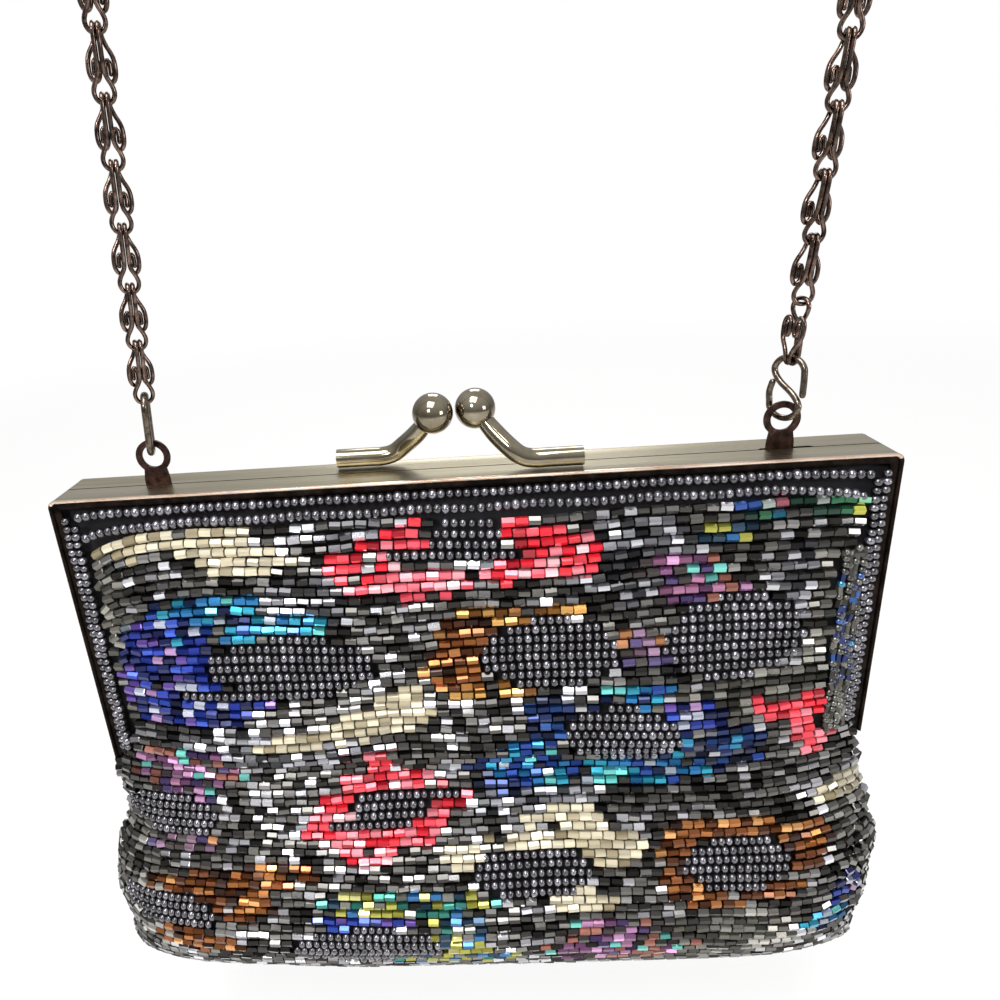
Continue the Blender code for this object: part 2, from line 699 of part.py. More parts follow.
def pouch_layers(parts):
    """The beaded outside and the lining, each in a back piece and three front ones."""
    side = INNER_HALF_WIDTH + POUCH_FLARE + OVERRUN
    deep = POCKET + POUCH_BULGE + OVERRUN
    hinge_z = HINGE_RISE - ARM_LENGTH
    fold_top = hinge_z + FOLD_TOP
    fold_bottom = hinge_z - FOLD_BOTTOM
    floor = -ARM_LENGTH - POUCH_DROP - OVERRUN
    beads = (0, FABRIC_THICKNESS)
    lining = (FABRIC_THICKNESS + GAP, FABRIC_THICKNESS + GAP + LINING_THICKNESS)
    made = {}
    for word, layer in (("beaded", beads), ("lining", lining)):
        made[word + "_back"] = pouch_piece(
            word + "_back", layer, (-side, HALF_SEAM, floor), (side, deep, OVERRUN), parts)
        made[word + "_front_upper"] = pouch_piece(
            word + "_front_upper", layer, (-side, -deep, fold_top), (side, -HALF_SEAM, OVERRUN), parts)
        made[word + "_front_fold"] = pouch_piece(
            word + "_front_fold", layer, (-side, -deep, fold_bottom), (side, -HALF_SEAM, fold_top - GAP), parts)
        made[word + "_front_lower"] = pouch_piece(
            word + "_front_lower", layer, (-side, -deep, floor), (side, -HALF_SEAM, fold_bottom - GAP), parts)
    return made


def dress(thing, finish):
    """Give an object one material and smooth its round faces."""
    thing.data.materials.clear()
    thing.data.materials.append(finish)
    thing.data.shade_smooth()
    thing.data.set_sharp_from_angle(angle=radians(40))


def build():
    """Build every piece, then move the whole bag so that it hangs from the origin."""
    clear_scene()
    parts = new_collection("beaded_handbag")
    nickel = material("polished_nickel_frame", (0.30, 0.28, 0.25), 1.0, 0.22)
    bronze = material("bronzed_wire", (0.16, 0.11, 0.09), 1.0, 0.30)
    copper = material("worn_copper_sheet", (0.22, 0.11, 0.08), 1.0, 0.42)
    beads = material("glass_beads", (0.06, 0.06, 0.07), 0.0, 0.15)
    satin = material("lining_satin", (0.02, 0.02, 0.025), 0.0, 0.60)

    pieces = {frame_half("front_frame", FRONT, parts): nickel, frame_half("back_frame", BACK, parts): nickel}
    pieces[clasp_knob("front_clasp_knob", FRONT, parts)] = nickel
    pieces[clasp_knob("back_clasp_knob", BACK, parts)] = nickel
    for end, word in ((-1, "left"), (1, "right")):
        pieces[rivet(f"{word}_hinge_rivet", end, parts)] = nickel
        pieces[strap_eye(f"{word}_strap_eye", end, parts)] = copper
    pieces[jump_ring("jump_ring", parts)] = bronze
    pieces[s_hook("s_hook", parts)] = bronze
    rise = fitted_rise()
    turns = arch_turns(rise)
    top = (arch_point(turns[ARCH_LINKS], rise) + arch_point(turns[ARCH_LINKS + 1], rise)) / 2
    for thing in strand_links(parts) + arch_links(rise, parts):
        pieces[thing] = bronze
    pieces[joining_ring("joining_ring", top, parts)] = bronze
    for name, thing in pouch_layers(parts).items():
        pieces[thing] = beads if name.startswith("beaded") else satin

    hang = bpy.data.objects.new("hang_point", None)
    parts.objects.link(hang)
    for thing, finish in pieces.items():
        dress(thing, finish)
        thing.parent = hang
    hang.location = -top
    return top


build()
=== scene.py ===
"""A beaded evening bag hung from its link chain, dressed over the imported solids.

The row frame has +Z up and the front of the bag faces -Y. Lengths are in metres.
"""

import logging
from dataclasses import dataclass, field
from enum import Enum, IntEnum

import bpy
import numpy as np
from mathutils import Matrix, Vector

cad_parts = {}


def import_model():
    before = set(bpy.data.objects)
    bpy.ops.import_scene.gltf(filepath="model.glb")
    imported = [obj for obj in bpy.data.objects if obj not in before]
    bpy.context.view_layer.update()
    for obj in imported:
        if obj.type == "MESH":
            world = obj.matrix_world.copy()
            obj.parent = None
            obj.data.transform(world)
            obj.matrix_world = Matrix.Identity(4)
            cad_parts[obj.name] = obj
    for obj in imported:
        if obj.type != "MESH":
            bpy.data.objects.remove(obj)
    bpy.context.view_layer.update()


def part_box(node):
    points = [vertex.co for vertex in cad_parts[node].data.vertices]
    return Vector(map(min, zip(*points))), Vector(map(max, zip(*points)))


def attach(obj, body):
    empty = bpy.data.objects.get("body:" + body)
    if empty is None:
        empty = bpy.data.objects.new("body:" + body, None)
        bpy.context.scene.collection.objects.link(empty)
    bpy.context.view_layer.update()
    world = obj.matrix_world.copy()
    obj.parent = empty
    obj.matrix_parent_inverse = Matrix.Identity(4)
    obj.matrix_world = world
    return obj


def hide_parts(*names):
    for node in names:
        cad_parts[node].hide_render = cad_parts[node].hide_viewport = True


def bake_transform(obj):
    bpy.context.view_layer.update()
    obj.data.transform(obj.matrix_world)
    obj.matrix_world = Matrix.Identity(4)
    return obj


LOG = logging.getLogger("beaded_bag")
MM = 0.001
TAU = 2 * np.pi


# Numpy surfaces


def unit(vectors: np.ndarray) -> np.ndarray:
    """Vectors of length one along the last axis."""
    return vectors / np.maximum(np.linalg.norm(vectors, axis=-1, keepdims=True), 1e-12)


def make_piece(name: str, points: np.ndarray, faces: list, smooth: float = 40.0) -> bpy.types.Object:
    """Put points and faces into a new object at the origin.

    Args:
        name: The object's name.
        points: Corner places, one row each.
        faces: Arrays of corner numbers, one array for each number of sides.
        smooth: The angle in degrees above which an edge is sharp; 0 keeps every face flat.

    Returns:
        The linked object.
    """
    mesh = bpy.data.meshes.new(name)
    sets = [np.asarray(f, dtype=int) for f in faces if len(f)]
    mesh.from_pydata(np.asarray(points, dtype=float).tolist(), [], [row for f in sets for row in f.tolist()])
    made = bpy.data.objects.new(name, mesh)
    bpy.context.scene.collection.objects.link(made)
    if smooth > 0:
        mesh.shade_smooth()
        mesh.set_sharp_from_angle(angle=np.radians(smooth))
    return made


def grid_faces(rows: int, columns: int, wrap: bool = True, loop: bool = False) -> np.ndarray:
    """Quads of a grid of rows and columns, closed across the columns (wrap) or the rows (loop).

    Args:
        rows: Rows of points.
        columns: Points in a row.
        wrap: Whether the last column joins the first.
        loop: Whether the last row joins the first.

    Returns:
        One row of four corner numbers for each face.
    """
    r = np.arange(rows if loop else rows - 1)[:, None]
    c = np.arange(columns if wrap else columns - 1)[None, :]
    here, right = r * columns + c, r * columns + (c + 1) % columns
    below, corner = ((r + 1) % rows) * columns + c, ((r + 1) % rows) * columns + (c + 1) % columns
    return np.stack([here, right, corner, below], axis=-1).reshape(-1, 4)


def through(knots: np.ndarray, steps: int, closed: bool = False) -> np.ndarray:
    """A Catmull-Rom curve through knots: p = a + bt + ct^2 + dt^3 between each pair.

    Args:
        knots: Places that the curve passes, one row each.
        steps: Points made for each pair of knots.
        closed: Whether the last knot joins the first.

    Returns:
        Points along the curve.
    """
    p = np.asarray(knots, dtype=float)
    if closed:
        k = np.concatenate([p[-1:], p, p[:2]])
    else:
        k = np.concatenate([2 * p[:1] - p[1:2], p, 2 * p[-1:] - p[-2:-1]])
    t = (np.arange(steps) / steps)[None, :, None]
    a, b, c, d = (k[i:len(k) - 3 + i, None, :] for i in range(4))
    curve = 0.5 * (2 * b + (c - a) * t + (2 * a - 5 * b + 4 * c - d) * t ** 2
                   + (3 * b - a - 3 * c + d) * t ** 3)
    curve = curve.reshape(-1, p.shape[1])
    return curve if closed else np.concatenate([curve, p[-1:]])


def walked(line: np.ndarray) -> np.ndarray:
    """The distance along a line from its first point to each of its points."""
    return np.concatenate([[0], np.cumsum(np.linalg.norm(np.diff(line, axis=0), axis=1))])


def even(path: np.ndarray, count: int, closed: bool = False) -> np.ndarray:
    """The path again as points at equal distances along it.

    Args:
        path: Points along it.
        count: How many points are made.
        closed: Whether the path is a ring.

    Returns:
        The points.
    """
    p = np.concatenate([path, path[:1]]) if closed else path
    along = walked(p)
    at = np.linspace(0, along[-1], count + 1)[:-1] if closed else np.linspace(0, along[-1], count)
    return np.stack([np.interp(at, along, p[:, k]) for k in range(p.shape[1])], axis=1)


def arc(start: float, stop: float, count: int) -> tuple:
    """The cosines and sines of angles at even steps from start to stop, in degrees."""
    a = np.radians(np.linspace(start, stop, count))
    return np.cos(a), np.sin(a)


def axes_along(path: np.ndarray, closed: bool) -> tuple:
    """Two directions across a path that turn with it and not about it.

    A first pair (n, b) comes from one fixed direction. Its own turn about the
    path between two points is atan2(n1.b0, n1.n0), and the running sum of that
    turn is taken off again.

    Args:
        path: Points along it.
        closed: Whether the path is a ring.

    Returns:
        The two directions at each point, n and b.
    """
    ahead = np.roll(path, -1, axis=0) - np.roll(path, 1, axis=0)
    if not closed:
        ahead[0], ahead[-1] = path[1] - path[0], path[-1] - path[-2]
    fixed = np.array([0.31, 0.52, 0.79])
    t = unit(ahead)
    n = unit(np.cross(t, fixed))
    b = np.cross(t, n)
    turn = np.arctan2((n[1:] * b[:-1]).sum(1), (n[1:] * n[:-1]).sum(1))
    spin = -np.concatenate([[0], np.cumsum(turn)])
    if closed:
        last = spin[-1] - np.arctan2((n[0] * b[-1]).sum(), (n[0] * n[-1]).sum())
        rest = (last + np.pi) % TAU - np.pi
        spin = spin - rest * np.arange(len(path)) / len(path)
    c, s = np.cos(spin)[:, None], np.sin(spin)[:, None]
    return n * c + b * s, b * c - n * s


def tube(path: np.ndarray, radius: float | np.ndarray, sides: int, closed: bool = False) -> tuple:
    """A round wire: p + r (n cos a + b sin a), its ends rounded off by a half ball.

    Args:
        path: Points along the middle of the wire.
        radius: The wire's radius, one value or one for each point.
        sides: Points around the wire.
        closed: Whether the wire is a ring.

    Returns:
        Points and a list of face arrays.
    """
    r = np.broadcast_to(np.asarray(radius, dtype=float), (len(path),)).copy()
    if not closed:
        bend = np.radians([88, 65, 35])  # the half ball's rings, from its tip
        first, last = unit(path[0] - path[1]), unit(path[-1] - path[-2])
        head = path[0] + first * r[0] * np.sin(bend)[:, None]
        tail = path[-1] + last * r[-1] * np.sin(bend[::-1])[:, None]
        path = np.concatenate([head, path, tail])
        r = np.concatenate([r[0] * np.cos(bend), r, r[-1] * np.cos(bend[::-1])])
    n, b = axes_along(path, closed)
    a = np.arange(sides) * TAU / sides
    ring = n[:, None, :] * np.cos(a)[None, :, None] + b[:, None, :] * np.sin(a)[None, :, None]
    points = (path[:, None, :] + r[:, None, None] * ring).reshape(-1, 3)
    faces = [grid_faces(len(path), sides, True, closed)[:, ::-1]]
    if not closed:
        faces += [np.arange(sides)[None, :], (len(path) * sides - 1 - np.arange(sides))[None, :]]
    return points, faces


def turned(profile: np.ndarray, sides: int) -> tuple:
    """A turned solid about Z from (radius, height) points, bottom to top: (r cos a, r sin a, h).

    Args:
        profile: Rows of (radius, height).
        sides: Points around the axis.

    Returns:
        Points and a list of face arrays.
    """
    a = np.arange(sides) * TAU / sides
    r, h = profile[:, 0][:, None], profile[:, 1][:, None]
    points = np.stack([r * np.cos(a), r * np.sin(a), h + 0 * a], axis=-1).reshape(-1, 3)
    count = len(profile) * sides
    return points, [grid_faces(len(profile), sides), np.arange(sides)[None, ::-1],
                    (count - sides + np.arange(sides))[None, :]]


def placed(points: np.ndarray, matrix: np.ndarray) -> np.ndarray:
    """Points moved by a 4 by 4 matrix."""
    return points @ matrix[:3, :3].T + matrix[:3, 3]


def turn_about(axis: str, degrees: float) -> np.ndarray:
    """A 4 by 4 turn about X, Y or Z."""
    return np.array(Matrix.Rotation(np.radians(degrees), 4, axis))


def shift(x: float, y: float, z: float) -> np.ndarray:
    """A 4 by 4 move."""
    return np.array(Matrix.Translation((x, y, z)))


def joined(parts: list) -> tuple:
    """Several sets of points and faces as one.

    Args:
        parts: Pairs of points and faces.

    Returns:
        Points and a list of face arrays.
    """
    points = np.concatenate([p for p, _ in parts])
    starts = np.cumsum([0] + [len(p) for p, _ in parts[:-1]])
    faces = [np.asarray(f) + start for start, (_, fs) in zip(starts, parts) for f in fs]
    return points, faces


def block(x: tuple, y: tuple, z: tuple) -> tuple:
    """A box between two values of x, y and z, the lower one first, as points and faces."""
    points = np.array([(a, b, c) for a in x for b in y for c in z])
    quads = np.array([(0, 1, 3, 2), (4, 6, 7, 5), (0, 4, 5, 1), (2, 3, 7, 6), (0, 2, 6, 4), (1, 5, 7, 3)])
    return points, [quads]


# Finishes


def linear(hex_colour: str) -> tuple:
    """An sRGB hex colour as linear red, green, blue and one.

    Args:
        hex_colour: The colour as #RRGGBB.

    Returns:
        Four numbers.
    """
    value = np.array([int(hex_colour[i:i + 2], 16) for i in (1, 3, 5)]) / 255
    rgb = np.where(value <= 0.04045, value / 12.92, ((value + 0.055) / 1.055) ** 2.4)
    return (*rgb.tolist(), 1.0)


def set_node(node: bpy.types.Node, settings: dict | None = None, links: dict | None = None) -> bpy.types.Node:
    """Set a node's properties and inputs, and link sockets into it.

    Args:
        node: The node.
        settings: Property names, or input names and numbers, with their values.
        links: Input names or numbers with the output sockets that feed them.

    Returns:
        The node.
    """
    for key, value in (settings or {}).items():
        if isinstance(key, int) or key in node.inputs:
            node.inputs[key].default_value = value
        else:
            setattr(node, key, value)
    for key, socket in (links or {}).items():
        node.id_data.links.new(socket, node.inputs[key])
    return node


def add_node(tree: bpy.types.NodeTree, kind: str, settings: dict | None = None,
             links: dict | None = None) -> bpy.types.Node:
    """Add a node of a kind to a tree, with settings and links as set_node takes them."""
    return set_node(tree.nodes.new(kind), settings, links)


def ramp_of(tree: bpy.types.NodeTree, value: bpy.types.NodeSocket, stops: list) -> bpy.types.NodeSocket:
    """A colour ramp fed by a value, with (place, hex colour) stops.

    Args:
        tree: The node tree.
        value: The socket that feeds it.
        stops: The stops in order.

    Returns:
        Its colour socket.
    """
    ramp = add_node(tree, "ShaderNodeValToRGB", links={"Fac": value})
    elements = ramp.color_ramp.elements
    while len(elements) < len(stops):
        elements.new(0.5)
    for element, (place, colour) in zip(elements, stops):
        element.position = place
        element.color = linear(colour)
    return ramp.outputs["Color"]


def new_material(name: str) -> tuple:
    """A material with its tree and its Principled shader."""
    made = bpy.data.materials.new(name)
    made.use_nodes = True
    return made, made.node_tree, made.node_tree.nodes["Principled BSDF"]


@dataclass(frozen=True)
class PlatedMetal:
    """Plated sheet or wire: a mirror under tarnish clouds, brushed lines and small pits.

    The clouds move the colour between the dull and the bright tone and make the dull places
    rougher; the stretch draws clouds and pits out into lines. The pits are bump alone.
    """

    name: str
    bright: str
    dull: str
    roughness: float
    cloud_mm: float
    pit_mm: float
    pit_strength: float
    stretch: tuple = (1.0, 1.0, 1.0)
    pit_depth_mm: float = 0.1
    tone_range: tuple = (0.34, 0.66)
    gloss_range: tuple = (0.3, 0.7)
    roughest: float = 1.35
    smoothest: float = 0.75

    def build(self) -> bpy.types.Material:
        """Make the material: noise of the clouds' size to tone and gloss, of the pits' size to bump."""
        made, tree, shader = new_material(self.name)
        place = add_node(tree, "ShaderNodeTexCoord").outputs["Object"]
        drawn = add_node(tree, "ShaderNodeMapping", {"Scale": self.stretch},
                         {"Vector": place}).outputs["Vector"]
        cloud = add_node(tree, "ShaderNodeTexNoise",
                         {"Scale": 1 / (self.cloud_mm * MM), "Detail": 6.0, "Roughness": 0.62},
                         {"Vector": drawn}).outputs["Fac"]
        pits = add_node(tree, "ShaderNodeTexNoise", {"Scale": 1 / (self.pit_mm * MM), "Detail": 3.0},
                        {"Vector": drawn}).outputs["Fac"]
        gloss = add_node(tree, "ShaderNodeMapRange",
                         {"From Min": self.gloss_range[0], "From Max": self.gloss_range[1],
                          "To Min": self.roughness * self.roughest,
                          "To Max": self.roughness * self.smoothest}, {"Value": cloud})
        bump = add_node(tree, "ShaderNodeBump",
                        {"Strength": self.pit_strength, "Distance": self.pit_depth_mm * MM}, {"Height": pits})
        colour = ramp_of(tree, cloud, list(zip(self.tone_range, (self.dull, self.bright))))
        set_node(shader, {"Metallic": 1.0}, {"Base Color": colour, "Roughness": gloss.outputs["Result"],
                                             "Normal": bump.outputs["Normal"]})
        return made


@dataclass(frozen=True)
class GlassBeads:
    """Cut or round glass beads under a hard gloss, which gives each its own glint.

    Colour and lustre of each bead come with the mesh; alpha says how metallic its coating is.
    """

    name: str
    roughness: float
    coat: float
    coat_roughness: float = 0.1
    ior: float = 1.52

    def build(self) -> bpy.types.Material:
        """Make the material from the bead_colour attribute."""
        made, tree, shader = new_material(self.name)
        tint = add_node(tree, "ShaderNodeAttribute", {"attribute_name": "bead_colour"})
        set_node(shader, {"Roughness": self.roughness, "IOR": self.ior, "Coat Weight": self.coat,
                          "Coat Roughness": self.coat_roughness},
                 {"Base Color": tint.outputs["Color"], "Metallic": tint.outputs["Alpha"]})
        return made


@dataclass(frozen=True)
class WovenCloth:
    """Plain woven cloth: warp and weft threads a set distance apart, with a soft sheen.

    A Wave texture of scale 1 repeats every 0.314 m, which turns the thread spacing to a scale.
    """

    name: str
    colour: str
    shade: str
    thread_mm: float
    roughness: float
    sheen: float
    sheen_roughness: float = 0.4
    wave_length: float = 0.314
    wander: float = 0.4
    cloud_mm: float = 1000 / 60
    bump_strength: float = 0.4
    thread_depth_mm: float = 0.1

    def build(self) -> bpy.types.Material:
        """Make the material: height = the higher of a wave along x and a wave along z."""
        made, tree, shader = new_material(self.name)
        place = add_node(tree, "ShaderNodeTexCoord").outputs["Object"]
        warp, weft = (add_node(tree, "ShaderNodeTexWave",
                               {"bands_direction": direction, "Distortion": self.wander,
                                "Scale": self.wave_length / (self.thread_mm * MM)},
                               {"Vector": place}).outputs["Fac"] for direction in ("X", "Z"))
        height = add_node(tree, "ShaderNodeMath", {"operation": "MAXIMUM"}, {0: warp, 1: weft})
        cloud = add_node(tree, "ShaderNodeTexNoise", {"Scale": 1 / (self.cloud_mm * MM), "Detail": 4.0},
                         {"Vector": place})
        bump = add_node(tree, "ShaderNodeBump",
                        {"Strength": self.bump_strength, "Distance": self.thread_depth_mm * MM},
                        {"Height": height.outputs[0]})
        colour = ramp_of(tree, cloud.outputs["Fac"], [(0.3, self.shade), (0.7, self.colour)])
        set_node(shader, {"Roughness": self.roughness, "Sheen Weight": self.sheen,
                          "Sheen Roughness": self.sheen_roughness},
                 {"Base Color": colour, "Normal": bump.outputs["Normal"]})
        return made


class Finish(Enum):
    """The finishes of the bag: metals as name, bright, dull, roughness, cloud, pit, pit strength, stretch."""

    # Nickel plate brushed along the frame: a soft, slightly yellow mirror with long lines.
    NICKEL = PlatedMetal("brushed_nickel_plate", "#ADA590", "#8B836D", 0.3, 3.2, 0.4, 0.05, (0.06, 1.0, 1.0))
    # The rolled edge, polished by hands: its brighter colour is a painted highlight on the rounded edge, over
    # a pinkish tone of thin plate; thin painted highlight lines at the plate's outer corner use it too.
    RIM = PlatedMetal("polished_rim_painted_highlight", "#E2D2C2", "#A88C78", 0.22, 4.0, 0.3, 0.04, (0.2, 1.0, 1.0))
    # Plate in the corners and inside the channel: nearly black as painted shade, with faint glints.
    PAINTED_SHADE = PlatedMetal("nickel_painted_shade", "#241D19", "#0E0B0A", 0.36, 3.0, 0.4, 0.12)
    # Polished nickel of the clasp: a clear, dark mirror.
    KNOB = PlatedMetal("polished_nickel_knob", "#8F8776", "#6E6656", 0.1, 8.0, 0.3, 0.02)
    # Bronzed wire of the links: coppery and dark in random clouds.
    BRONZE = PlatedMetal("bronzed_steel_wire", "#7C685E", "#2C221D", 0.17, 1.6, 0.3, 0.03)
    # Greyer, darkened wire of the rings and the hook.
    RING = PlatedMetal("darkened_steel_wire", "#7A6F64", "#40382F", 0.22, 1.6, 0.3, 0.03)
    # Worn copper plate of the eyes: dull red brown with pits.
    COPPER = PlatedMetal("worn_copper_plate", "#4A3630", "#211816", 0.34, 1.8, 0.3, 0.12)
    # Cut tubes glint from flat sides, the round seeds from one point each.
    TUBE_BEADS = GlassBeads("cut_glass_beads", 0.15, 0.25)
    SEED_BEADS = GlassBeads("hematite_seed_beads", 0.2, 1.0)
    # Black cotton under the beads, and a smoother, shinier satin lining.
    GROUND = WovenCloth("black_ground_cloth", "#15141A", "#0B0A0E", 0.4, 0.85, 0.1)
    LINING = WovenCloth("black_lining_satin", "#1B1A1F", "#100F13", 0.25, 0.5, 0.5)


# The bag


@dataclass
class Workshop:
    """Makes, dresses and ties pieces that are given in the bag's own axes.

    Their origin is the middle of the top plates, between the halves. There is one
    material for each finish.
    """

    origin: np.ndarray
    made: dict = field(default_factory=dict)

    @classmethod
    def from_frame(cls) -> "Workshop":
        """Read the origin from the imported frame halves."""
        low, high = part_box("back_frame")
        return cls(np.array([(low[0] + high[0]) / 2, 0.0, high[2]]))

    def piece(self, name: str, shape: tuple, smooth: float, *finishes: Finish) -> bpy.types.Object:
        """A dressed piece from (points, faces) and the angle above which its edges are sharp.

        Args:
            name: Its name.
            shape: Its points and faces.
            smooth: The angle above which an edge is sharp.
            finishes: Its finishes in order.

        Returns:
            The object.
        """
        points, faces = shape
        piece = make_piece(name, points + self.origin, faces, smooth)
        for finish in finishes:
            if finish not in self.made:
                self.made[finish] = finish.value.build()
            piece.data.materials.append(self.made[finish])
        return piece

    def tie(self, piece: bpy.types.Object, slot: str, body: str, node: str) -> None:
        """Tie a piece to its body, and hide the solid that it stands for.

        Args:
            piece: The piece.
            slot: The record's material slot; not used.
            body: The body it rides on.
            node: The solid it stands for.
        """
        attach(piece, body)
        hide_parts(node)
        LOG.info("%s rides on %s", piece.name, body)


class Tone(IntEnum):
    """Where a face of the frame takes its finish from: a material slot, or EDGE for the rolled edge."""

    PLATE = 0
    RIM = 1
    DARK = 2
    EDGE = 3


@dataclass
class FrameHalves:
    """The two U shaped channels with their rims, lips and hinge lugs.

    edge_mm goes round the rolled edge: distance inward, distance short of the full depth,
    and tone. The slot is the notch in the back half's seam edge, from corner to corner.
    """

    shop: Workshop
    half_width: float = 0.095
    half_depth: float = 0.0077
    seam: float = 0.00015
    bevel: float = 0.05 * MM
    thickness: float = 0.0010
    arm: float = 0.0724
    arm_foot: float = 0.008
    arm_middle: float = 0.035
    corner: float = 0.0020
    lip: float = 0.0015
    hinge_rise: float = 0.0020
    lug_radius: float = 0.0036
    lug_edge: float = 0.15 * MM
    lug_gap: float = 0.3 * MM
    lug_clear: float = 0.6 * MM
    web_rise: float = 3.0 * MM
    web_from: float = 1.2 * MM
    web_short: float = 0.8 * MM
    slot: tuple = (0.0792, 0.0784, 0.0676, 0.0668)
    slot_depth: float = 0.0009
    # The RIM strips at the plate's outer corner are a thin painted highlight line; the EDGE strips are
    # painted highlight on top and painted shade down the arms; the DARK strip is painted shade.
    edge_mm: tuple = (
        (0.0, 0.75, Tone.PLATE), (-0.05, 0.5, Tone.RIM), (-0.02, 0.2, Tone.RIM), (0.15, 0.0, Tone.EDGE),
        (0.45, -0.02, Tone.EDGE), (0.72, 0.14, Tone.EDGE), (0.85, 0.42, Tone.DARK))

    def path(self) -> tuple:
        """The outer line of the U and the inward direction at each point.

        The arms have close points at their feet, for the hollow round the hinge, and the
        top has the slot's four ends.
        """
        c, s = arc(0, 90, 9)
        bend = np.stack([self.half_width - self.corner + self.corner * c,
                         -self.corner + self.corner * s], axis=1)
        low = np.concatenate([np.linspace(-self.arm, -self.arm + self.arm_foot, 14), [-self.arm_middle]])
        line = np.concatenate([np.stack([np.full_like(low, self.half_width), low], axis=1), bend])
        ins = np.concatenate([np.tile([-1.0, 0.0], (len(low), 1)), -np.stack([c, s], axis=1)])
        top = np.stack([np.array(self.slot), np.zeros(len(self.slot))], axis=1)
        mirror = np.array([-1, 1])
        return (np.concatenate([line, top, (line * mirror)[::-1]]),
                np.concatenate([ins, np.tile([0.0, -1.0], (len(top), 1)), (ins * mirror)[::-1]]))

    def profile(self) -> tuple:
        """The channel's section as (inward, depth) pairs, and the tone from each point on.

        It runs over the outer face, the rolled edge, the lip and the inner face to the seam.
        """
        d, t, e = self.half_depth, self.thickness, self.bevel
        lip = t + self.lip
        # The lip and the inner face to the seam take the dark finish: painted shade inside the channel.
        inside = ((t, 0.62), (lip - 0.2 * MM, 0.7), (lip, 0.85), (lip, 1.2), (lip - 0.15 * MM, 1.3), (t, 1.3))
        table = np.array([
            (0.0, self.seam + e, Tone.PLATE), (0.0, d * 0.5, Tone.PLATE),
            *[(inward * MM, d - short * MM, tone) for inward, short, tone in self.edge_mm],
            *[(inward, d - short * MM, Tone.DARK) for inward, short in inside],
            (t, self.seam + e, Tone.DARK), (t - e, self.seam, Tone.DARK), (e, self.seam, Tone.DARK)])
        return table[:, :2], table[:, 2].astype(int)

    def tones(self, line: np.ndarray, tone: np.ndarray) -> np.ndarray:
        """The finish of every face of the sweep: the rolled edge takes the rim finish on top as painted
        highlight, and the dark one down the arms as painted shade.

        Args:
            line: The U's points.
            tone: The tone of each strip of the section.

        Returns:
            A material slot for each face.
        """
        level = 0.5 * (line[1:, 1] + line[:-1, 1])
        # The same rolled edge is painted lit where it faces up and painted shaded where it faces sideways
        # down the arms.
        edge = np.where(level < -0.4 * self.corner, int(Tone.DARK), int(Tone.RIM))
        return np.where(tone[None, :] == Tone.EDGE, edge[:, None], tone[None, :]).ravel()

    def shell(self, side: int, line: np.ndarray, inward: np.ndarray, section: np.ndarray) -> tuple:
        """One channel: the section swept along the U, hollowed round the hinge or cut at the slot.

        The hollow is the circle sqrt(r^2 - (z - hinge)^2) about the other half's lug.

        Args:
            side: -1 for the front, 1 for the back.
            line: The U's points.
            inward: The inward direction at each.
            section: The section's (inward, depth) pairs.

        Returns:
            Points and a list of face arrays.
        """
        across = line[:, None, :] + inward[:, None, :] * section[None, :, 0, None]
        x, z = line.T
        if side < 0:
            out = (self.lug_radius + self.lug_clear) ** 2 - (z - (self.hinge_rise - self.arm)) ** 2
            least = np.minimum(np.sqrt(np.maximum(out, 0)), self.half_depth - 2 * MM)
        else:
            near = 1e-9
            cut = (z > -near) & (x < self.slot[1] + near) & (x > self.slot[2] - near)
            least = np.where(cut, self.slot_depth, 0)
        depth = np.maximum(section[None, :, 1], least[:, None])
        points = np.stack([across[..., 0], side * depth, across[..., 1]], axis=-1).reshape(-1, 3)
        n = len(section)
        first = np.arange(n)[None, :]
        faces = [grid_faces(len(line), n), first[:, ::-1], (len(line) - 1) * n + first]
        return points, faces if side < 0 else [f[:, ::-1] for f in faces]

    def lug(self, side: int, end: int) -> tuple:
        """A disc with a rounded edge about the hinge, at the arm's end, as points and faces.

        Args:
            side: -1 for the front, 1 for the back.
            end: -1 for the left, 1 for the right.

        Returns:
            Points and a list of face arrays.
        """
        t, r, edge = self.thickness, self.lug_radius, self.lug_edge
        inner = self.half_width - t if side > 0 else self.half_width - 2 * t - self.lug_gap
        profile = np.array([(r * 0.2, 0), (r - edge, 0), (r, edge), (r, t - edge), (r - edge, t),
                            (r * 0.2, t)])
        points, faces = turned(profile, 40)
        lay = shift(end * inner, 0, self.hinge_rise - self.arm) @ turn_about("Y", 90 * end)
        return placed(points, lay), faces

    def web(self, end: int) -> tuple:
        """The bar that joins the front lug to the front lip, as points and faces.

        Args:
            end: -1 for the left, 1 for the right.

        Returns:
            Points and a list of face arrays.
        """
        x = end * (self.half_width - self.thickness - self.lug_gap - np.array([0.0, self.thickness]))
        z = self.hinge_rise - self.arm + np.array([-self.hinge_rise, self.web_rise])
        return block(np.sort(x), (-self.half_depth + self.web_short, -self.web_from), z)

    def build(self) -> None:
        """Sweep the section along the U for each half and add the lugs."""
        line, inward = self.path()
        section, tone = self.profile()
        swept = self.tones(line, tone)
        for word, side in (("front", -1), ("back", 1)):
            shapes = [self.shell(side, line, inward, section)] + [self.lug(side, end) for end in (-1, 1)]
            if side < 0:
                shapes += [self.web(end) for end in (-1, 1)]
            piece = self.shop.piece(f"{word}_frame_shell", joined(shapes), 35,
                                    Finish.NICKEL, Finish.RIM, Finish.PAINTED_SHADE)
            # The lugs and webs take the dark finish: painted shade inside the hinge.
            tones = np.full(len(piece.data.polygons), int(Tone.DARK), dtype=np.int32)
            tones[:len(swept)] = swept
            piece.data.polygons.foreach_set("material_index", tones)
            self.shop.tie(piece, "polished_nickel", f"{word}_half", f"{word}_frame")


